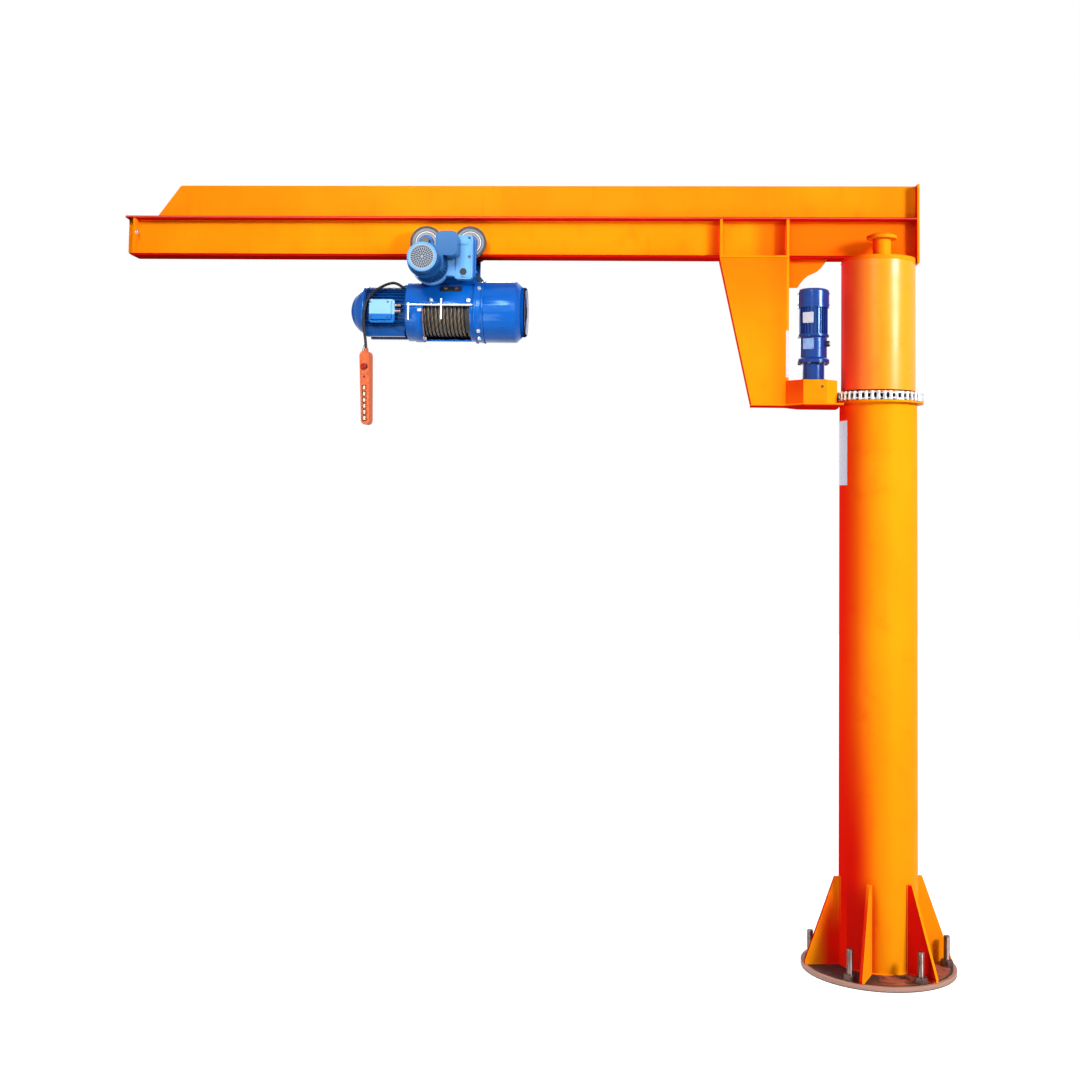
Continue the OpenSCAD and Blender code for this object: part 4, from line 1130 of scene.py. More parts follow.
HANGER_ENAMEL = Paint("hanger_enamel_with_shade", (0.001, 0.075, 0.36), (0.001, 0.025, 0.16), (0.003, 0.13, 0.50), 0.24,
                      gloss=0.25, tint=SKY, marks=HangerShadeMarks())
LID_ENAMEL = Paint("lid_enamel", (0.005, 0.12, 0.44), (0.003, 0.05, 0.24), (0.015, 0.19, 0.60), 0.30,
                   gloss=0.25, tint=SKY, marks=LidMarks())
GRILLE_ENAMEL = Paint("grille_enamel", (0.34, 0.38, 0.45), (0.14, 0.20, 0.32), (0.44, 0.48, 0.54), 0.3,
                      gloss=0.2, tint=SKY)
BEARING_STEEL = Steel("turned_bearing_steel", (0.42, 0.42, 0.44), (0.10, 0.07, 0.05), 0.35)
CHAIN_STEEL = Steel("oiled_chain_steel", (0.62, 0.62, 0.64), (0.09, 0.08, 0.07), 0.3, stained=0.6)
DARK_STEEL = Steel("blackened_steel", (0.07, 0.065, 0.065), (0.015, 0.012, 0.012), 0.45)
BRIGHT_STEEL = Steel("plated_steel", (0.58, 0.60, 0.64), (0.10, 0.10, 0.11), 0.3, metallic=0.8, stained=0.4)
STUD_STEEL = Steel("stud_steel", (0.20, 0.15, 0.14), (0.06, 0.02, 0.012), 0.34, stained=0.7)
OUTER_WHEEL = RingedSteel("outer_wheel_steel", (-1.948, 3.027))
INNER_WHEEL = RingedSteel("inner_wheel_steel", (-1.758, 3.027))
RUSTY_NUT = Steel("rusty_nut", (0.09, 0.04, 0.03), (0.04, 0.008, 0.005), 0.5, metallic=0.3, stained=0.7)
CAP_GREY = Paint("cap_enamel", (0.035, 0.045, 0.075), (0.015, 0.02, 0.04), (0.06, 0.07, 0.11), 0.45,
                 gloss=0.0, tint=SKY, dull_ends=True, marks=CapMarks())
ROPE = GreasedRope("greased_rope", (0.42, 0.32, 0.21), (0.006, 0.004, 0.003))
PENDANT_SHELL = Moulded("pendant_shell", (0.58, 0.112, 0.035), (0.64, 0.19, 0.085), 0.5)
CABLE_RUBBER = Moulded("cable_rubber", (0.010, 0.010, 0.012), (0.03, 0.03, 0.032), 0.5)
BLACK_PLASTIC = Moulded("black_plastic", (0.012, 0.012, 0.015), (0.035, 0.035, 0.04), 0.4)
RED_PLASTIC = Moulded("red_plastic", (0.32, 0.008, 0.005), (0.45, 0.02, 0.010), 0.3)
PALE_PLASTIC = Moulded("pale_plastic", (0.70, 0.54, 0.38), (0.80, 0.66, 0.50), 0.35)
PINK_FILM = Moulded("pink_film", (0.66, 0.60, 0.64), (0.50, 0.44, 0.50), 0.3, grain=300.0)
BLANK_PLATE = Moulded("blank_plate", (0.60, 0.60, 0.70), (0.44, 0.44, 0.58), 0.3, grain=300.0)
LOW_PLATE = Moulded("low_plate", (0.26, 0.40, 0.70), (0.05, 0.12, 0.40), 0.3, grain=300.0)

Finish = Paint | Steel | RingedSteel | Moulded | RustyPlate | GreasedRope


@dataclass(frozen=True)
class Plan:
    """Heights and places worked out from the frame's nodes."""

    column_r: float
    base_top: float
    sleeve_r: float
    beam_z: float
    beam_top: float
    half_width: float
    flange: float

    @staticmethod
    def current() -> Plan:
        """Reads the frame and returns its plan."""
        beam_low, beam_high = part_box("jib_beam")
        return Plan(column_r=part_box("column_tube")[1].x, base_top=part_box("base_plate")[1].z,
                    sleeve_r=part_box("sleeve")[1].x, beam_z=beam_low.z, beam_top=beam_high.z,
                    half_width=beam_high.y, flange=10 * MM)


MADE: dict[Finish, bpy.types.Material] = {}


def material_of(finish: Finish) -> bpy.types.Material:
    """Makes a finish's own material once. The frame's materials are never taken for it.

    Args:
        finish: the finish.

    Returns:
        Its material.
    """
    if finish not in MADE:
        MADE[finish] = finish.material()
    return MADE[finish]


def piece(name: str, form: Form, finish: Finish, body: Body, crease: float = 32.0,
          crest: np.ndarray | None = None) -> bpy.types.Object:
    """Makes one piece from a form, with its finish, and lets it ride on a body.

    Args:
        name: the piece's name.
        form: its closed shape, in the frame's metres.
        finish: what it is painted with or made of.
        body: the body that it moves with.
        crease: edges sharper than this many degrees stay sharp.
        crest: a value for each point, kept as the attribute "crest".

    Returns:
        The new object.
    """
    mesh = bpy.data.meshes.new(name)
    mesh.from_pydata(form.points.tolist(), [], [f for group in form.faces for f in group.tolist()])
    if crest is not None:
        mesh.attributes.new("crest", "FLOAT", "POINT").data.foreach_set("value", crest.astype(np.float32))
    work = bmesh.new()
    work.from_mesh(mesh)
    bmesh.ops.remove_doubles(work, verts=work.verts, dist=1e-6)
    bmesh.ops.dissolve_degenerate(work, edges=work.edges, dist=1e-7)
    bmesh.ops.recalc_face_normals(work, faces=work.faces)
    work.to_mesh(mesh)
    work.free()
    mesh.shade_smooth()
    mesh.set_sharp_from_angle(angle=math.radians(crease))
    mesh.materials.append(material_of(finish))
    made = bpy.data.objects.new(name, mesh)
    bpy.context.scene.collection.objects.link(made)
    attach(made, body.value)
    LOG.info("piece %s: %d points", name, len(mesh.vertices))
    return made


def soften(made: bpy.types.Object, width: float) -> None:
    """Rounds the sharp edges of a node.

    Args:
        made: the node's object.
        width: width of the rounded edge.
    """
    modifier = made.modifiers.new("soft_edges", "BEVEL")
    modifier.width = width
    modifier.segments = 2
    modifier.limit_method = "ANGLE"
    modifier.angle_limit = math.radians(40)
    modifier.harden_normals = True


def dress(node: str, finish: Finish, bevel: float = 0.0) -> None:
    """Gives a node of the frame its finish, and softens its edges with modifiers.

    Args:
        node: the node's name.
        finish: what it is painted with or made of.
        bevel: width of the softened edges, or 0 for none.
    """
    made = bpy.data.objects[node]
    made.data.materials.clear()
    made.data.materials.append(material_of(finish))
    if bevel:
        weld = made.modifiers.new("weld", "WELD")
        weld.merge_threshold = 0.00002
        soften(made, bevel)


# ---------------------------------------------------------------- studio


WHITE = (1.0, 1.0, 1.0, 1.0)


@dataclass(frozen=True)
class Lamp:
    """A square area lamp that faces a target. Its power is in watts and its spread in degrees."""

    name: str
    place: tuple[float, float, float]
    target: tuple[float, float, float]
    size: float
    power: float
    spread: float = 180.0

    def build(self) -> None:
        """Adds the lamp to the scene."""
        data = bpy.data.lights.new(self.name, "AREA")
        data.spread = math.radians(self.spread)
        data.size = self.size
        data.energy = self.power
        made = bpy.data.objects.new(self.name, data)
        made.location = self.place
        towards = Vector(self.place) - Vector(self.target)
        made.rotation_euler = towards.to_track_quat("Z", "Y").to_euler()
        bpy.context.scene.collection.objects.link(made)


LAMPS = (
    Lamp("key_lamp", (4.4, -4.3, 4.2), (-0.3, 0.0, 1.7), size=1.3, power=540.0),
    Lamp("front_lamp", (-2.4, -5.6, 5.2), (-2.2, 0.0, 2.9), size=2.0, power=34.0, spread=52.0),
    Lamp("back_lamp", (-3.5, 5.0, 4.5), (-1.2, 0.0, 2.2), size=3.0, power=190.0),
    Lamp("left_fill", (-3.0, -2.2, 1.1), (0.0, 0.0, 1.3), size=1.8, power=31.0, spread=110.0),
)


@dataclass
class Studio:
    """The pale floor, the soft lamps, the white surround and the camera."""

    eye: tuple[float, float, float] = (-0.949, -6.205, 1.895)
    yaw: float = 3.58
    pitch: float = 3.90
    roll: float = 0.86
    field_of_view: float = 41.10
    shift: Span = (-0.0236, -0.1225)
    sensor: float = 36.0
    sight: float = 60.0
    plain_level: float = 0.06
    floor_glow: float = 0.97
    floor_greys: Span = (0.34, 0.37)

    def camera(self) -> None:
        """Sets the camera. It looks along +Y, turned left by the yaw and up by the pitch."""
        yaw, pitch, roll = (math.radians(a) for a in (self.yaw, self.pitch, self.roll))
        ahead = Vector((-math.sin(yaw) * math.cos(pitch), math.cos(yaw) * math.cos(pitch), math.sin(pitch)))
        right = ahead.cross(Vector((0, 0, 1))).normalized()
        up = right.cross(ahead)
        side = math.cos(roll) * right + math.sin(roll) * up
        lift = math.cos(roll) * up - math.sin(roll) * right
        data = bpy.data.cameras.new("camera")
        data.sensor_width = self.sensor
        data.lens = self.sensor / 2 / math.tan(math.radians(self.field_of_view) / 2)
        data.shift_x, data.shift_y = self.shift
        data.clip_end = self.sight
        made = bpy.data.objects.new("camera", data)
        turn = Matrix((side, lift, -ahead)).transposed().to_4x4()
        made.matrix_world = Matrix.Translation(self.eye) @ turn
        bpy.context.scene.collection.objects.link(made)
        bpy.context.scene.camera = made

    def white_to_view(self, tree: bpy.types.NodeTree) -> bpy.types.NodeSocket:
        """Adds a factor that is 1 for camera, glossy and transmission rays.

        Args:
            tree: the node tree that it is added to.

        Returns:
            The factor.
        """
        path = tree.nodes.new("ShaderNodeLightPath")
        total = path.outputs["Is Camera Ray"]
        for name in ("Is Glossy Ray", "Is Transmission Ray"):
            add = tree.nodes.new("ShaderNodeMath")
            add.operation = "ADD"
            add.use_clamp = True
            tree.links.new(total, add.inputs[0])
            tree.links.new(path.outputs[name], add.inputs[1])
            total = add.outputs[0]
        return total

    def world(self) -> None:
        """Lights the object at a plain level and shows white behind it."""
        world = bpy.data.worlds.new("surround")
        bpy.context.scene.world = world
        world.use_nodes = True
        tree = world.node_tree
        tree.nodes.clear()
        light, seen = (tree.nodes.new("ShaderNodeBackground") for _ in range(2))
        for background, strength in ((light, self.plain_level), (seen, 1.0)):
            background.inputs["Color"].default_value = WHITE
            background.inputs["Strength"].default_value = strength
        mix = tree.nodes.new("ShaderNodeMixShader")
        out = tree.nodes.new("ShaderNodeOutputWorld")
        tree.links.new(self.white_to_view(tree), mix.inputs[0])
        tree.links.new(light.outputs[0], mix.inputs[1])
        tree.links.new(seen.outputs[0], mix.inputs[2])
        tree.links.new(mix.outputs[0], out.inputs["Surface"])

    def floor(self) -> None:
        """A wide pale floor that takes the object's shadow and looks white."""
        corners = [[[-14, -9, 0], [14, -9, 0]], [[-14, 16, 0], [14, 16, 0]]]
        form = grid(np.array(corners, float), wrap=False)
        mesh = bpy.data.meshes.new("floor")
        mesh.from_pydata(form.points.tolist(), [], form.faces[0].tolist())
        mesh.flip_normals()
        made = bpy.data.objects.new("floor", mesh)
        bpy.context.scene.collection.objects.link(made)
        s = Shader("pale_floor")
        dark, light = ((grey, grey, grey) for grey in self.floor_greys)
        s.shade(Base_Color=s.blend(s.span(s.noise(0.8), 0.3, 0.7), dark, light))
        s.shade(Roughness=0.6)
        glow = s.node("ShaderNodeEmission")
        glow.inputs["Color"].default_value = WHITE
        glow.inputs["Strength"].default_value = self.floor_glow
        add = s.node("ShaderNodeAddShader")
        mix = s.node("ShaderNodeMixShader")
        s.put(add.inputs[0], s.surface.outputs[0])
        s.put(add.inputs[1], glow.outputs[0])
        s.put(mix.inputs[0], self.white_to_view(s.tree))
        s.put(mix.inputs[1], s.surface.outputs[0])
        s.put(mix.inputs[2], add.outputs[0])
        s.put(s.tree.nodes["Material Output"].inputs["Surface"], mix.outputs[0])
        mesh.materials.append(s.material)

    def build(self) -> None:
        """Sets up the whole studio."""
        bpy.context.scene.view_settings.view_transform = "Standard"
        self.camera()
        self.world()
        self.floor()
        for lamp in LAMPS:
            lamp.build()


# ---------------------------------------------------------------- sub-assemblies


def about_z(angles: Sequence[float] | np.ndarray) -> np.ndarray:
    """Matrices that turn a form round the Z axis.

    Args:
        angles: one angle for each matrix, in degrees.

    Returns:
        Matrices of shape (n, 4, 4).
    """
    a = np.radians(np.asarray(angles, float))
    out = np.tile(np.eye(4), (len(a), 1, 1))
    out[:, 0, 0] = np.cos(a)
    out[:, 0, 1] = -np.sin(a)
    out[:, 1, 0] = np.sin(a)
    out[:, 1, 1] = np.cos(a)
    return out


def slab(low: Sequence[float], high: Sequence[float]) -> Form:
    """An upright box between two corners."""
    outline = [(low[0], low[1]), (high[0], low[1]), (high[0], high[1]), (low[0], high[1])]
    return prism(outline, high[2] - low[2]).moved(z=low[2])


def disc(radius: float, height: float, edge: float, steps: int = 40) -> Form:
    """A round plate on Z = 0 with a chamfered rim."""
    return lathe([(0.0, 0.0), (radius, 0.0), (radius, height - edge), (radius - edge, height),
                  (0.0, height)], steps)


def collar(inner: float, outer: float, height: float, edge: float, steps: int = 48) -> Form:
    """A round ring on Z = 0 with chamfered upper rims, made as a turned loop."""
    rh = [(inner, 0.0), (outer, 0.0), (outer, height - edge), (outer - edge, height),
          (inner + edge, height), (inner, height - edge), (inner, 0.0)]
    return lathe(rh, steps)


@dataclass
class Column:
    """The pillar: the base plate, the round column, its gussets and the anchors that hold it."""

    plan: Plan
    spokes: int = 6
    anchor: Fastener = Fastener(26 * MM)
    anchor_circle: float = 280 * MM
    anchor_first: float = -32.0
    anchor_foot: float = 2 * MM
    anchor_top: float = 142 * MM
    anchor_pitch: float = 4 * MM
    nut_rise: float = 3.6 * MM
    gusset_first: float = -111.0
    gusset_half: float = 7 * MM
    gusset_top: float = 374 * MM
    gusset_toe: float = 306 * MM
    bead: float = 5 * MM
    bead_step: float = 2.6 * MM
    grease_skin: Span = (1 * MM, 0.9 * MM)
    grease_inset: float = 2 * MM
    film_turn: Span = (-150.0, -184.0)
    film_z: Span = (2.0, 2.272)
    film_gap: float = 0.4 * MM
    film_half: float = 0.5 * MM
    film_points: int = 30

    def anchors(self) -> None:
        """Six threaded rods through the base plate, each with a washer and a nut."""
        spots = ring_places((0, 0, 0), self.anchor_circle, self.spokes, Axis.UP, self.anchor_first)
        rod = self.anchor.stud(self.anchor_top - self.anchor_foot, self.anchor_pitch)
        rods = stood(rod.moved(z=self.anchor_foot), spots, Axis.UP)
        piece("anchor_rods", rods, STUD_STEEL, Body.COLUMN)
        nut = self.anchor.washer() + self.anchor.hexagon(0.8 * self.anchor.thread).moved(z=self.nut_rise)
        nuts = stood(nut, spots + np.array([0.0, 0.0, self.plan.base_top]), Axis.UP)
        piece("anchor_nuts", nuts, RUSTY_NUT, Body.COLUMN)

    def welds(self) -> None:
        """Beads round the column's foot, along the gussets and under the chain's lip."""
        r, z, step = self.plan.column_r, self.plan.base_top, self.bead_step
        foot = weld_bead(loop((0, 0, z), r, step), self.bead, closed=True)
        sides = []
        for y in (-self.gusset_half, self.gusset_half):
            up = line((r, y, z), (r, y, self.gusset_top), step)
            out = line((r, y, z), (self.gusset_toe, y, z), step)
            sides += [weld_bead(up, 0.8 * self.bead, (1, 0, 0)), weld_bead(out, 0.8 * self.bead)]
        turns = about_z(self.gusset_first + 360.0 / self.spokes * np.arange(self.spokes))
        beads = foot + joined(sides).placed(turns)
        piece("foot_welds", beads, COLUMN_ENAMEL, Body.COLUMN, crease=60.0)
        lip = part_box("chain_lip")[0].z
        ring = weld_bead(loop((0, 0, lip), r, step), 0.7 * self.bead, closed=True)
        piece("lip_weld", ring, COLUMN_ENAMEL, Body.COLUMN, crease=60.0)

    def grease(self) -> None:
        """A band of dark grease on the column behind the chain."""
        low, high = (corner.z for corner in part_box("slew_chain"))
        inner, outer = self.plan.column_r - self.grease_skin[0], self.plan.column_r + self.grease_skin[1]
        band = collar(inner, outer, high - low - 2 * self.grease_inset, 0.3 * MM, 96)
        piece("chain_grease", band.moved(z=low + self.grease_inset), BLACK_PLASTIC, Body.COLUMN)

    def film(self) -> None:
        """A blank curved plate on the column's side: an arc that carries a flat section."""
        a = np.radians(np.linspace(*self.film_turn, self.film_points))
        r = self.plan.column_r + self.film_gap
        low, high = self.film_z
        middle = np.full(self.film_points, (low + high) / 2)
        arc = np.stack([r * np.cos(a), r * np.sin(a), middle], axis=1)
        t, h = self.film_half, (high - low) / 2
        section = np.array([(-t, -h), (t, -h), (t, h), (-t, h)])
        piece("column_blank_plate", sweep(arc, section), BLANK_PLATE, Body.COLUMN)

    def build(self) -> None:
        """Dresses the column's nodes and adds its anchors, welds, grease and blank plate."""
        for node in ("column_tube", "column_top", "chain_lip"):
            dress(node, COLUMN_ENAMEL)
        dress("base_gussets", COLUMN_ENAMEL, 1.5 * MM)
        dress("base_plate", BASE_PLATE, 1.5 * MM)
        dress("spindle", BEARING_STEEL)
        dress("slew_chain", CHAIN_STEEL)
        self.anchors()
        self.welds()
        self.grease()
        self.film()


@dataclass
class Jib:
    """The swinging sleeve, the beam with its rib and stops, and the bracket below it."""

    plan: Plan
    bead: float = 4 * MM
    bead_step: float = 2.8 * MM
    seam_inset: float = 1 * MM
    rib_inset: float = 2 * MM
    stiffener_x: tuple[float, ...] = (-0.680, -0.668, -0.396, -0.384)
    web: float = 4 * MM
    web_clear: float = 14 * MM
    foot_clear: float = 3 * MM
    foot_start: float = 17 * MM
    stop_bolt: Fastener = Fastener(12 * MM)
    stop_share: float = 0.6
    strip: tuple[tuple[float, ...], tuple[float, ...]] = ((-0.3965, -0.0528, 2.455),
                                                          (-0.3842, -0.0515, 2.655))
    soft_edge: float = 1.2 * MM

    def welds(self) -> None:
        """Beads along the rib, round the sleeve's top and on the stiffeners."""
        plan, step = self.plan, self.bead_step
        rib_low, rib_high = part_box("jib_rib")
        sides = []
        for y in (rib_low.y, rib_high.y):
            path = line((rib_low.x + self.rib_inset, y, plan.beam_top), (rib_high.x, y, plan.beam_top), step)
            sides.append(weld_bead(path, self.bead))
        piece("rib_welds", joined(sides), JIB_ENAMEL, Body.JIB, crease=60.0)
        path = loop((0, 0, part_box("sleeve_cap")[0].z), plan.sleeve_r - self.seam_inset, step)
        seam = weld_bead(path, 0.7 * self.bead, closed=True)
        piece("sleeve_weld", seam, JIB_ENAMEL, Body.JIB, crease=60.0)
        uprights = []
        low, high = plan.beam_z + plan.flange, plan.beam_top - plan.flange
        for x in self.stiffener_x:
            for side in (-1, 1):
                y = side * self.web
                web = line((x, y, low + self.web_clear), (x, y, high - self.web_clear), step)
                rim, root = plan.half_width - self.foot_clear, self.foot_start
                foot = line((x, side * rim, low), (x, side * root, low), step)
                uprights += [weld_bead(web, 0.8 * self.bead, (1, 0, 0)), weld_bead(foot, 0.8 * self.bead)]
        piece("stiffener_welds", joined(uprights), JIB_ENAMEL, Body.JIB, crease=60.0)

    def stop_bolts(self) -> None:
        """A bolt through the hole of each trolley stop."""
        plan, share = self.plan, self.stop_share
        z = plan.beam_z + share * (plan.beam_top - plan.beam_z)
        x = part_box("trolley_stops")[1].x
        places = [(x, side * share * plan.half_width, z) for side in (-1, 1)]
        bolts = stood(self.stop_bolt.bolt(), places, Axis.RIGHT)
        piece("stop_bolts", bolts, BRIGHT_STEEL, Body.JIB)

    def build(self) -> None:
        """Dresses the jib's nodes and adds its welds, bolts and blank strip."""
        dress("jib_beam", BEAM_ENAMEL, self.soft_edge)
        dress("sleeve", SLEEVE_ENAMEL)
        for node in ("sleeve_cap", "cap_pin"):
            dress(node, JIB_ENAMEL)
        for node in ("jib_rib", "rear_plate", "trolley_stops", "web_stiffeners", "bracket_front",
                     "bracket_rear", "motor_seat"):
            dress(node, JIB_ENAMEL, self.soft_edge)
        for node in ("bracket_sides", "curved_gusset"):
            dress(node, BRACKET_ENAMEL, self.soft_edge)
        dress("bracket_bottom", UNDER_ENAMEL, self.soft_edge)
        self.welds()
        self.stop_bolts()
        piece("bracket_blank_strip", slab(*self.strip), PINK_FILM, Body.JIB)


@dataclass
class SlewingDrive:
    """The upright gearmotor that turns the jib, and the sprocket below it.

    Plates are given by their radius and height, and turns are in degrees from +X.
    """

    x: float = -0.27513
    flange_bolts: int = 8
    lower_flange: Span = (61 * MM, 2.521)
    lower_bolt: Fastener = Fastener(8 * MM)
    upper_flange: Span = (64 * MM, 2.635)
    upper_bolt: Fastener = Fastener(5 * MM)
    plate_turn: float = -117.0
    upper_plate: Span = (61.5 * MM, 2.712)
    lower_plate: Span = (58 * MM, 2.600)
    plug: Span = (-0.250, 2.412)
    knob_turn: float = -30.0
    knob_z: float = 2.602
    knob_root: float = 54 * MM
    knob_end: float = 73.5 * MM

    def on_side(self, form: Form, turn: float, radius: float, z: float) -> Form:
        """Puts a form on the drive's round side, facing outwards.

        Args:
            form: the form, which stands on its own Z = 0.
            turn: direction from the drive's axis, in degrees.
            radius: distance from the axis.
            z: height.

        Returns:
            The form in its place.
        """
        a = math.radians(turn)
        out = (math.cos(a), math.sin(a), 0.0)
        return stood(form, [(self.x + radius * out[0], radius * out[1], z)], out)

    def flange_heads(self, flange: Span, bolt: Fastener) -> Form:
        """A ring of bolt heads under a flange, which is given by its bolt circle and height."""
        spots = ring_places((self.x, 0, flange[1]), flange[0], self.flange_bolts, Axis.DOWN,
                            180.0 / self.flange_bolts)
        return stood(bolt.bolt(), spots, Axis.DOWN)

    def build(self) -> None:
        """Dresses the drive and adds its plates, plug, knob and bolts."""
        for node in ("drive_gearbox", "drive_motor", "drive_cowl"):
            dress(node, DRIVE_ENAMEL)
        dress("sprocket", DARK_STEEL, 0.6 * MM)
        plate = round_box((48 * MM, 46 * MM, 1.6 * MM), 3 * MM, 0.5 * MM)
        for name, at, finish in (("drive_upper_plate", self.upper_plate, BLANK_PLATE),
                                 ("drive_lower_plate", self.lower_plate, LOW_PLATE)):
            piece(name, self.on_side(plate, self.plate_turn, *at), finish, Body.JIB)
        place = (self.plug[0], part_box("motor_seat")[0].y, self.plug[1])
        dot = stood(disc(6 * MM, 1.5 * MM, 0.4 * MM), [place], Axis.FRONT)
        piece("seat_plug", dot, DARK_STEEL, Body.JIB)
        knob = lathe([(0, 0), (9 * MM, 0), (9 * MM, 7 * MM), (13 * MM, 9 * MM), (13 * MM, 17 * MM),
                      (10 * MM, 20 * MM), (0, 20 * MM)], 28)
        knob = self.on_side(knob, self.knob_turn, self.knob_root, self.knob_z)
        piece("release_knob", knob, BLACK_PLASTIC, Body.JIB)
        cap = self.on_side(disc(6 * MM, 2 * MM, 0.5 * MM, 24), self.knob_turn, self.knob_end, self.knob_z)
        piece("knob_cap", cap, BLANK_PLATE, Body.JIB)
        heads = self.flange_heads(self.lower_flange, self.lower_bolt)
        heads = heads + self.flange_heads(self.upper_flange, self.upper_bolt)
        piece("drive_flange_bolts", heads, DARK_STEEL, Body.JIB)


@dataclass
class Trolley:
    """The four-wheeled trolley on the beam's flange, with its travel drive."""

    outer_x: float = -1.948
    inner_x: float = -1.758
    axle_z: float = 3.027
    axle_nut: Fastener = Fastener(20 * MM)
    axle_nut_y: float = 93 * MM
    axle_nut_height: float = 13 * MM
    axle_nut_rise: float = 2.8 * MM
    plate_y: float = 0.085
    cover_y: float = -0.136
    hanger_z: float = 2.8945
    hanger_bolt: Fastener = Fastener(12 * MM)
    hanger_spread: float = 12 * MM
    hole: Span = (-1.776, 2.888)
    ridge_z: float = 3.018
    case_x: Span = (-1.814, -1.738)
    case_z: Span = (2.858, 3.048)
    case_screw: Fastener = Fastener(7 * MM)
    screw_inset: float = 13 * MM
    screw_lift: float = 20 * MM
    fan: tuple[float, float, float] = (-1.918, -0.361, 2.914)
    slot_rings: tuple[tuple[float, int], ...] = ((0.011, 8), (0.0215, 16), (0.032, 24), (0.0425, 32))
    slot_half: Span = (4.6 * MM, 2.7 * MM)
    slot_height: float = 0.5 * MM
    slot_rise: float = 1.1 * MM
    ring_turn: float = 0.1

    def fasteners(self) -> None:
        """Axle nuts that turn with the wheels, and the bolts of the hanger and the gear case."""
        spin = {Body.WHEEL_NEAR_OUT: (self.outer_x, -1), Body.WHEEL_FAR_OUT: (self.outer_x, 1),
                Body.WHEEL_FAR_IN: (self.inner_x, 1)}
        nut = self.axle_nut.hexagon(self.axle_nut_height).moved(z=self.axle_nut_rise)
        form = self.axle_nut.washer() + nut
        for body, (x, side) in spin.items():
            towards = Axis.FRONT if side < 0 else Axis.BACK
            made = stood(form, [(x, side * self.axle_nut_y, self.axle_z)], towards)
            piece(f"axle_nut_{body.value}", made, DARK_STEEL, body)
        heads = []
        spread = self.hanger_spread
        for side, axis in ((-1, Axis.FRONT), (1, Axis.BACK)):
            spots = [(x + dx, side * self.plate_y, self.hanger_z) for x in (self.outer_x, self.inner_x)
                     for dx in (-spread, spread) if side > 0 or x == self.outer_x]
            heads.append(stood(self.hanger_bolt.bolt(), spots, axis))
        piece("hanger_bolts", joined(heads), BRIGHT_STEEL, Body.TROLLEY)
        (x0, x1), (z0, z1) = self.case_x, self.case_z
        left, right, top = x0 + self.screw_inset, x1 - self.screw_inset, z1 - self.screw_inset
        middle, y = (z0 + z1) / 2, self.cover_y
        spots = [(right, y, top), (left, y, top), (right, y, middle), (left, y, middle + self.screw_lift)]
        screws = stood(self.case_screw.screw(), spots, Axis.FRONT)
        piece("gear_case_screws", screws, DARK_STEEL, Body.TROLLEY)

    def grille(self) -> None:
        """The pale fan grille: a disc with a rim, and rings of black slabs as painted shade in its radial
        slots.
        """
        face = disc(54 * MM, 1.2 * MM, 0.4 * MM, 64)
        piece("fan_grille", stood(face, [self.fan], Axis.FRONT), GRILLE_ENAMEL, Body.TROLLEY)
        rim = collar(53 * MM, 62 * MM, 3 * MM, 1.2 * MM, 72)
        piece("fan_rim", stood(rim, [self.fan], Axis.FRONT), PALE_ENAMEL, Body.TROLLEY)
        w, d = self.slot_half
        slot = slab((-w, -d, 0.0), (w, d, self.slot_height))
        slots = []
        for ring, (radius, count) in enumerate(self.slot_rings):
            a = np.linspace(0.0, 2 * np.pi, count, endpoint=False) + self.ring_turn * ring
            slots.append(slot.moved(x=radius).placed(about_z(np.degrees(a))).moved(z=self.slot_rise))
        # Black slabs as painted shade in the grille's slots.
        form = stood(joined(slots), [self.fan], Axis.FRONT)
        piece("fan_slot_shade", form, BLACK_PLASTIC, Body.TROLLEY)

    def cover(self) -> None:
        """A light ring round a black disc, the painted shade of a blind hole, and a rounded ridge on the
        gear case's cover.
        """
        place = (self.hole[0], self.cover_y, self.hole[1])
        ring = stood(collar(15 * MM, 20 * MM, 4 * MM, 1 * MM), [place], Axis.FRONT)
        piece("gear_case_ring", ring, PALE_ENAMEL, Body.TROLLEY)
        # A black disc as painted shade inside the hole.
        dark = stood(disc(15.5 * MM, 1.4 * MM, 0.3 * MM), [place], Axis.FRONT)
        piece("gear_case_hole_shade", dark, BLACK_PLASTIC, Body.TROLLEY)
        middle = (sum(self.case_x) / 2, self.cover_y, self.ridge_z)
        ridge = stood(round_box((40 * MM, 30 * MM, 4 * MM), 9 * MM, 2 * MM), [middle], Axis.FRONT)
        piece("gear_case_ridge", ridge, PALE_ENAMEL, Body.TROLLEY)

    def build(self) -> None:
        """Dresses the trolley's nodes and adds its fasteners and cover details."""
        dress("trolley_plates", HOIST_ENAMEL, 1.2 * MM)
        dress("trolley_hanger", HANGER_ENAMEL, 1.2 * MM)
        for node in ("travel_motor", "travel_cowl"):
            dress(node, TRAVEL_ENAMEL)
        dress("travel_gearbox", PALE_ENAMEL, 1.2 * MM)
        for node, finish in (("wheel_near_out", OUTER_WHEEL), ("wheel_far_out", OUTER_WHEEL),
                             ("wheel_near_in", INNER_WHEEL), ("wheel_far_in", INNER_WHEEL)):
            dress(node, finish, 1.0 * MM)
        self.fasteners()
        self.grille()
        self.cover()


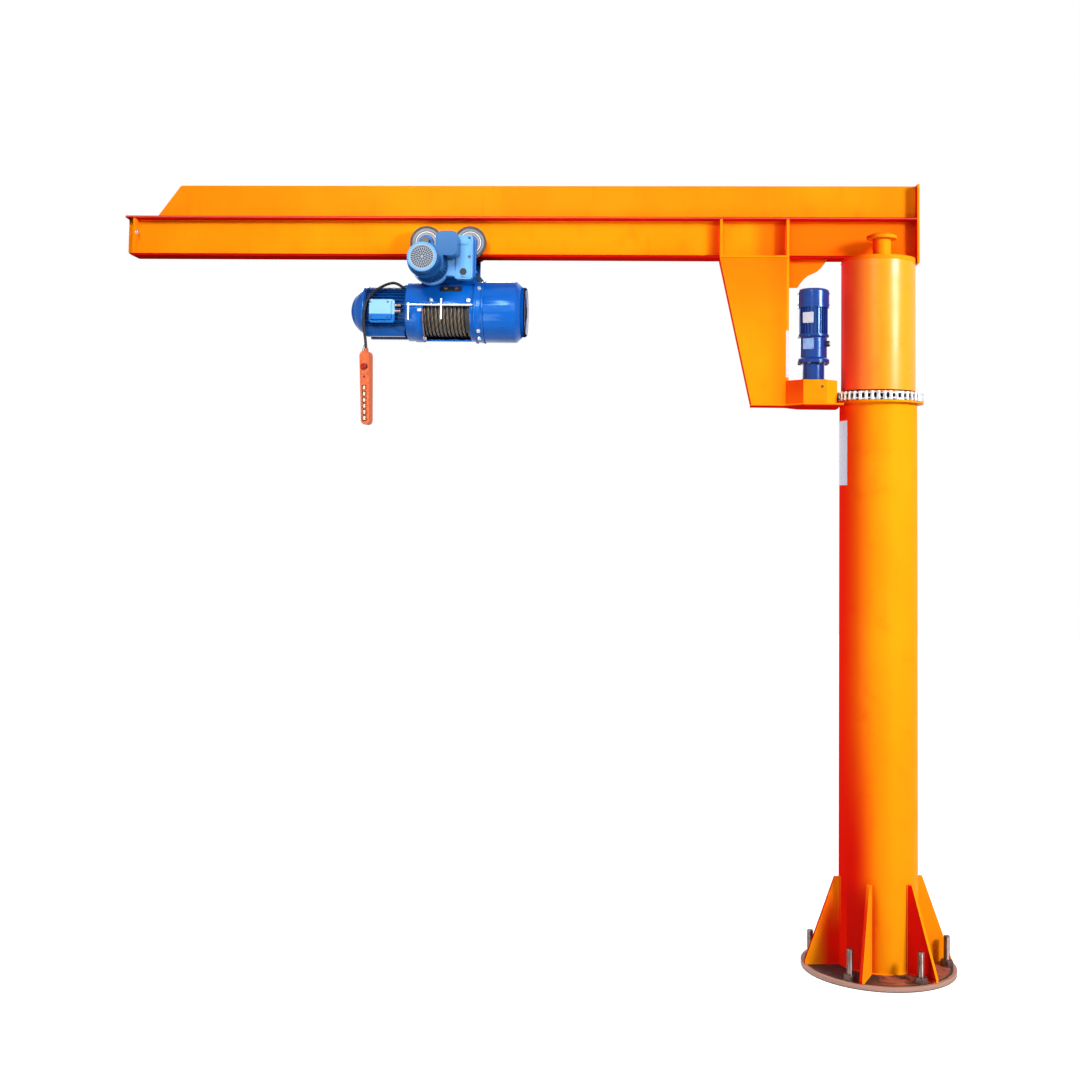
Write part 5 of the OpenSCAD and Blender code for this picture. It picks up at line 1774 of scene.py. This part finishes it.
@dataclass
class Hoist:
    """The wire rope hoist: drum, housing, guide, gearbox, motor and terminal box.

    Angles on the housing are in degrees above the front.
    """

    axis_z: float = 2.732
    housing_x: float = -2.025
    housing_r: float = 129 * MM
    band_r: float = 133 * MM
    drum_r: float = 99 * MM
    shaft_r: float = 30 * MM
    shaft_span: Span = (0.3, 294.7)
    flange_r: float = 113 * MM
    flange_spans: tuple[Span, Span] = ((20, 30), (265, 275))
    rope_circle: float = 103.5 * MM
    rope_r: float = 6.5 * MM
    rope_pitch: float = 16.5 * MM
    rope_start: float = 38.25 * MM
    rope_turns: int = 13
    rope_steps: int = 200
    rope_sides: int = 14
    strands: int = 6
    strand_lay: float = 70 * MM
    flange_x: Span = (-1.730, -1.691)
    flange_angles: tuple[float, ...] = (42.0, -44.0, -64.0, 138.0, -136.0, -116.0)
    guide_bolt: Fastener = Fastener(9 * MM)
    nut_x: Span = (-1.913, -1.752)
    nut_angle: float = 15.0
    block_places: tuple[Span, Span] = ((-1.962, -4.0), (-1.948, -66.0))
    block_inset: float = 1 * MM
    rod_x: float = -1.947
    rod_angles: Span = (-2.0, -66.0)
    rod_points: int = 24
    rod_gap: float = 3 * MM
    rod_r: float = 3.2 * MM
    plate_x: float = -1.831
    plate_angle: float = 42.0
    plate_height: float = 5 * MM
    plate_bolt_x: Span = (-24 * MM, 22 * MM)
    gland_places: tuple[tuple[float, float, float], ...] = ((-2.073, -0.112, 2.720), (-2.073, -0.108, 2.745))
    lid: tuple[float, float, float] = (-2.1375, -0.131, 2.7245)
    lid_half: Span = (38 * MM, 32 * MM)
    lid_screw: Fastener = Fastener(5 * MM)

    def rope(self) -> None:
        """The drum with its wound rope.

        The rope's centre runs along a helix. Its radius swells at six strands that twist
        round it, and the swell is kept as the attribute "crest".
        """
        (start, end), (first, last) = self.shaft_span, self.flange_spans
        shaft, flange = self.shaft_r, self.flange_r
        along = [(0, start), (shaft, start), (shaft, first[0]), (flange, first[0]), (flange, first[1]),
                 (self.drum_r, first[1]), (self.drum_r, last[0]), (flange, last[0]), (flange, last[1]),
                 (shaft, last[1]), (shaft, end), (0, end)]
        core = lathe([(r, h * MM) for r, h in along], 96)
        t = np.linspace(0.0, 2 * np.pi * self.rope_turns, self.rope_steps * self.rope_turns + 1)
        travel = self.rope_start + self.rope_pitch * t / (2 * np.pi)
        radial = np.stack([np.cos(t), np.sin(t), np.zeros_like(t)], axis=1)
        lengthways = np.array([0.0, 0.0, 1.0])
        centre = self.rope_circle * radial + travel[:, None] * lengthways
        b = np.linspace(0.0, 2 * np.pi, self.rope_sides, endpoint=False)
        twist = t[:, None] * self.rope_circle * 2 * np.pi / self.strand_lay
        crest = 0.5 + 0.5 * np.cos(self.strands * b[None] - twist)
        r = self.rope_r * (0.90 + 0.10 * crest)
        points = (centre[:, None] + (r * np.cos(b))[..., None] * radial[:, None]
                  + (r * np.sin(b))[..., None] * lengthways)
        form = core + grid(points, capped=True)
        form = stood(form, [(self.housing_x, 0.0, self.axis_z)], Axis.RIGHT)
        values = np.concatenate([np.zeros(len(core.points)), crest.reshape(-1)])
        made = piece("drum_and_rope", form, ROPE, Body.DRUM, 50.0, crest=values)
        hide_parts("rope_drum")

    def on_housing(self, form: Form, x: float, angle: float, radius: float) -> Form:
        """Stands a form on the round housing, facing outwards.

        Args:
            form: the form, which stands on its own Z = 0.
            x: place along the hoist's axis.
            angle: angle above the front.
            radius: distance from the axis.

        Returns:
            The form in its place.
        """
        a = math.radians(angle)
        out = (0.0, -math.cos(a), math.sin(a))
        return stood(form, [(x, radius * out[1], self.axis_z + radius * out[2])], out)

    def guide(self) -> None:
        """Domed nuts on the rope guide, and two limit blocks with the rod between them."""
        nuts = joined([self.on_housing(self.guide_bolt.acorn(), x, self.nut_angle, self.housing_r)
                       for x in self.nut_x])
        piece("guide_nuts", nuts, BRIGHT_STEEL, Body.TROLLEY)
        block = round_box((18 * MM, 13 * MM, 7 * MM), 2 * MM, 1 * MM)
        blocks = joined([self.on_housing(block, x, angle, self.band_r - self.block_inset)
                         for x, angle in self.block_places])
        piece("limit_blocks", blocks, BLANK_PLATE, Body.TROLLEY)
        a = np.radians(np.linspace(*self.rod_angles, self.rod_points))
        r = self.band_r + self.rod_gap
        x = np.full(self.rod_points, self.rod_x)
        arc = np.stack([x, -r * np.cos(a), self.axis_z + r * np.sin(a)], axis=1)
        rod = sweep(arc, circle(self.rod_r, 12), up=(1, 0, 0))
        piece("limit_rod", rod, STUD_STEEL, Body.TROLLEY)

    def slot_plate(self) -> None:
        """The dark plate above the rope window, with its two bolts."""
        plate = round_box((94 * MM, 30 * MM, self.plate_height), 4 * MM, 1 * MM)
        plate = self.on_housing(plate, self.plate_x, self.plate_angle, self.housing_r)
        piece("slot_plate", plate, BLACK_PLASTIC, Body.TROLLEY)
        top = self.housing_r + self.plate_height
        bolts = joined([self.on_housing(self.guide_bolt.bolt(), self.plate_x + x, self.plate_angle, top)
                        for x in self.plate_bolt_x])
        piece("slot_plate_bolts", bolts, STUD_STEEL, Body.TROLLEY)

    def gearbox_bolts(self) -> None:
        """Bolts that stand on the rim of the gear flange, between its ridges."""
        x = sum(self.flange_x) / 2
        heads = joined([self.on_housing(self.guide_bolt.bolt(), x, angle, self.band_r)
                        for angle in self.flange_angles])
        piece("gearbox_bolts", heads, BRIGHT_STEEL, Body.TROLLEY)

    def glands(self) -> None:
        """Cable glands between the terminal box and the housing, and the screws of the box's lid."""
        gland = lathe([(0, 0), (9 * MM, 0), (9 * MM, 8 * MM), (7 * MM, 9 * MM), (7 * MM, 20 * MM),
                       (8.5 * MM, 21 * MM), (8.5 * MM, 26 * MM), (5 * MM, 29 * MM), (0, 29 * MM)], 24)
        form = stood(gland, self.gland_places, Axis.RIGHT)
        piece("terminal_glands", form, STUD_STEEL, Body.TROLLEY)
        (x, y, z), (w, h) = self.lid, self.lid_half
        corners = [(x + sx * w, y, z + sz * h) for sx in (-1, 1) for sz in (-1, 1)]
        screws = stood(self.lid_screw.screw(), corners, Axis.FRONT)
        piece("lid_screws", screws, DARK_STEEL, Body.TROLLEY)

    def build(self) -> None:
        """Dresses the hoist's nodes and adds its rope, guide parts, bolts and glands."""
        for node in ("drum_housing", "gear_flange", "hoist_gearbox", "motor_dome"):
            dress(node, HOIST_ENAMEL, 1.2 * MM)
        dress("hoist_motor", MOTOR_ENAMEL, 1.2 * MM)
        dress("terminal_box", LID_ENAMEL, 1.2 * MM)
        dress("rope_guide", BRIGHT_STEEL)
        dress("gearbox_cap", CAP_GREY)
        self.rope()
        self.guide()
        self.slot_plate()
        self.gearbox_bolts()
        self.glands()


@dataclass
class Pendant:
    """The push-button pendant that hangs on the control cable. Drops are measured from its pivot."""

    pivot: tuple[float, float, float] = (-2.190, -0.125, 2.556)
    lean: float = 2.0
    turn: float = -10.0
    face: float = 26 * MM
    case_face: float = 23 * MM
    stop_drop: float = 80 * MM
    collar_height: float = 3 * MM
    knob_rise: float = 2 * MM
    ridge_drop: float = 0.111
    key_drop: float = 0.123
    button_drops: tuple[float, ...] = (0.171, 0.197, 0.223, 0.249, 0.275, 0.301)
    wire_r: float = 1.3 * MM
    wire_y: float = -11 * MM
    wire_top: Span = (1 * MM, 20 * MM)
    wire_foot: Span = (15 * MM, -14 * MM)

    def hung(self, form: Form) -> Form:
        """Turns and leans a form that is drawn round the pivot, and moves it there.

        Args:
            form: the form, drawn with the pivot at its origin.

        Returns:
            The form in its place.
        """
        lean = Matrix.Rotation(math.radians(-self.lean), 4, "Y")
        matrix = Matrix.Translation(self.pivot) @ lean @ Matrix.Rotation(math.radians(self.turn), 4, "Z")
        return form.placed(np.array(matrix)[None])

    def on_face(self, form: Form, drops: Sequence[float], depth: float) -> Form:
        """Puts a copy of a form on the pendant's front at each drop."""
        return self.hung(stood(form, [(0.0, -depth, -drop) for drop in drops], Axis.FRONT))

    def stop_button(self) -> None:
        """The red stop knob in its black collar: a turned mushroom."""
        ring = disc(15 * MM, self.collar_height, 1 * MM)
        ring = self.on_face(ring, [self.stop_drop], self.case_face)
        piece("stop_collar", ring, BLACK_PLASTIC, Body.TROLLEY)
        knob = lathe([(0, 0), (7 * MM, 0), (7 * MM, 4 * MM), (12.5 * MM, 6 * MM), (12.5 * MM, 10 * MM),
                      (9 * MM, 13 * MM), (0, 14 * MM)], 32)
        knob = self.on_face(knob, [self.stop_drop], self.case_face + self.knob_rise)
        piece("stop_knob", knob, RED_PLASTIC, Body.TROLLEY)

    def build(self) -> None:
        """Dresses the case and adds its stop knob, its buttons and the cable's bail."""
        dress("pendant", PENDANT_SHELL, 2 * MM)
        self.stop_button()
        frame = round_box((17 * MM, 23 * MM, 1.2 * MM), 2 * MM, 0.4 * MM)
        cap = round_box((10 * MM, 16 * MM, 3.5 * MM), 2.5 * MM, 1.2 * MM)
        dot = disc(4 * MM, 1.5 * MM, 0.4 * MM, 20)
        ridge = round_box((32 * MM, 4 * MM, 5 * MM), 1.4 * MM, 0.8 * MM)
        for name, form, drops, depth, finish in (
                ("button_frames", frame, self.button_drops, self.face, BLACK_PLASTIC),
                ("buttons", cap, self.button_drops, self.face, PALE_PLASTIC),
                ("key_spot", dot, [self.key_drop], self.face, BLACK_PLASTIC),
                ("case_ridge", ridge, [self.ridge_drop], self.case_face, PENDANT_SHELL)):
            piece(name, self.on_face(form, drops, depth), finish, Body.TROLLEY)
        wires = []
        for side in (-1, 1):
            top = (side * self.wire_top[0], self.wire_y, self.wire_top[1])
            foot = (side * self.wire_foot[0], self.wire_y, self.wire_foot[1])
            wires.append(sweep(line(top, foot, 3 * MM), circle(self.wire_r, 10), up=(0, 1, 0)))
        piece("bail_wires", self.hung(joined(wires)), DARK_STEEL, Body.TROLLEY)


@dataclass
class ControlCable:
    """The pendant's cable: from the gland on the housing, over the motor and down to the pendant."""

    diameter: float = 12 * MM
    never_along: tuple[float, float, float] = (0.15, 1.0, 0.1)
    route: tuple[tuple[float, float, float], ...] = (
        (-2.037, -0.058, 2.832), (-2.050, -0.058, 2.832), (-2.066, -0.061, 2.842),
        (-2.086, -0.067, 2.848), (-2.108, -0.076, 2.843), (-2.134, -0.088, 2.829),
        (-2.160, -0.101, 2.809), (-2.182, -0.112, 2.783), (-2.196, -0.119, 2.752),
        (-2.203, -0.123, 2.715), (-2.204, -0.125, 2.675), (-2.200, -0.126, 2.635),
        (-2.194, -0.125, 2.595), (-2.190, -0.125, 2.556))

    def build(self) -> None:
        path = smooth_path(self.route, 8)
        form = sweep(path, circle(self.diameter / 2, 16), up=self.never_along)
        made = piece("pendant_cable", form, CABLE_RUBBER, Body.TROLLEY, crease=60.0)
        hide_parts("control_cable")


def main() -> None:
    """Builds the studio, the cable and every sub-assembly round the frame."""
    logging.basicConfig(level=logging.INFO, format="%(message)s")
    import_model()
    plan = Plan.current()
    for part in (Studio(), ControlCable(), Column(plan), Jib(plan), SlewingDrive(), Trolley(), Hoist(),
                 Pendant()):
        part.build()


if __name__ == "__main__":
    main()
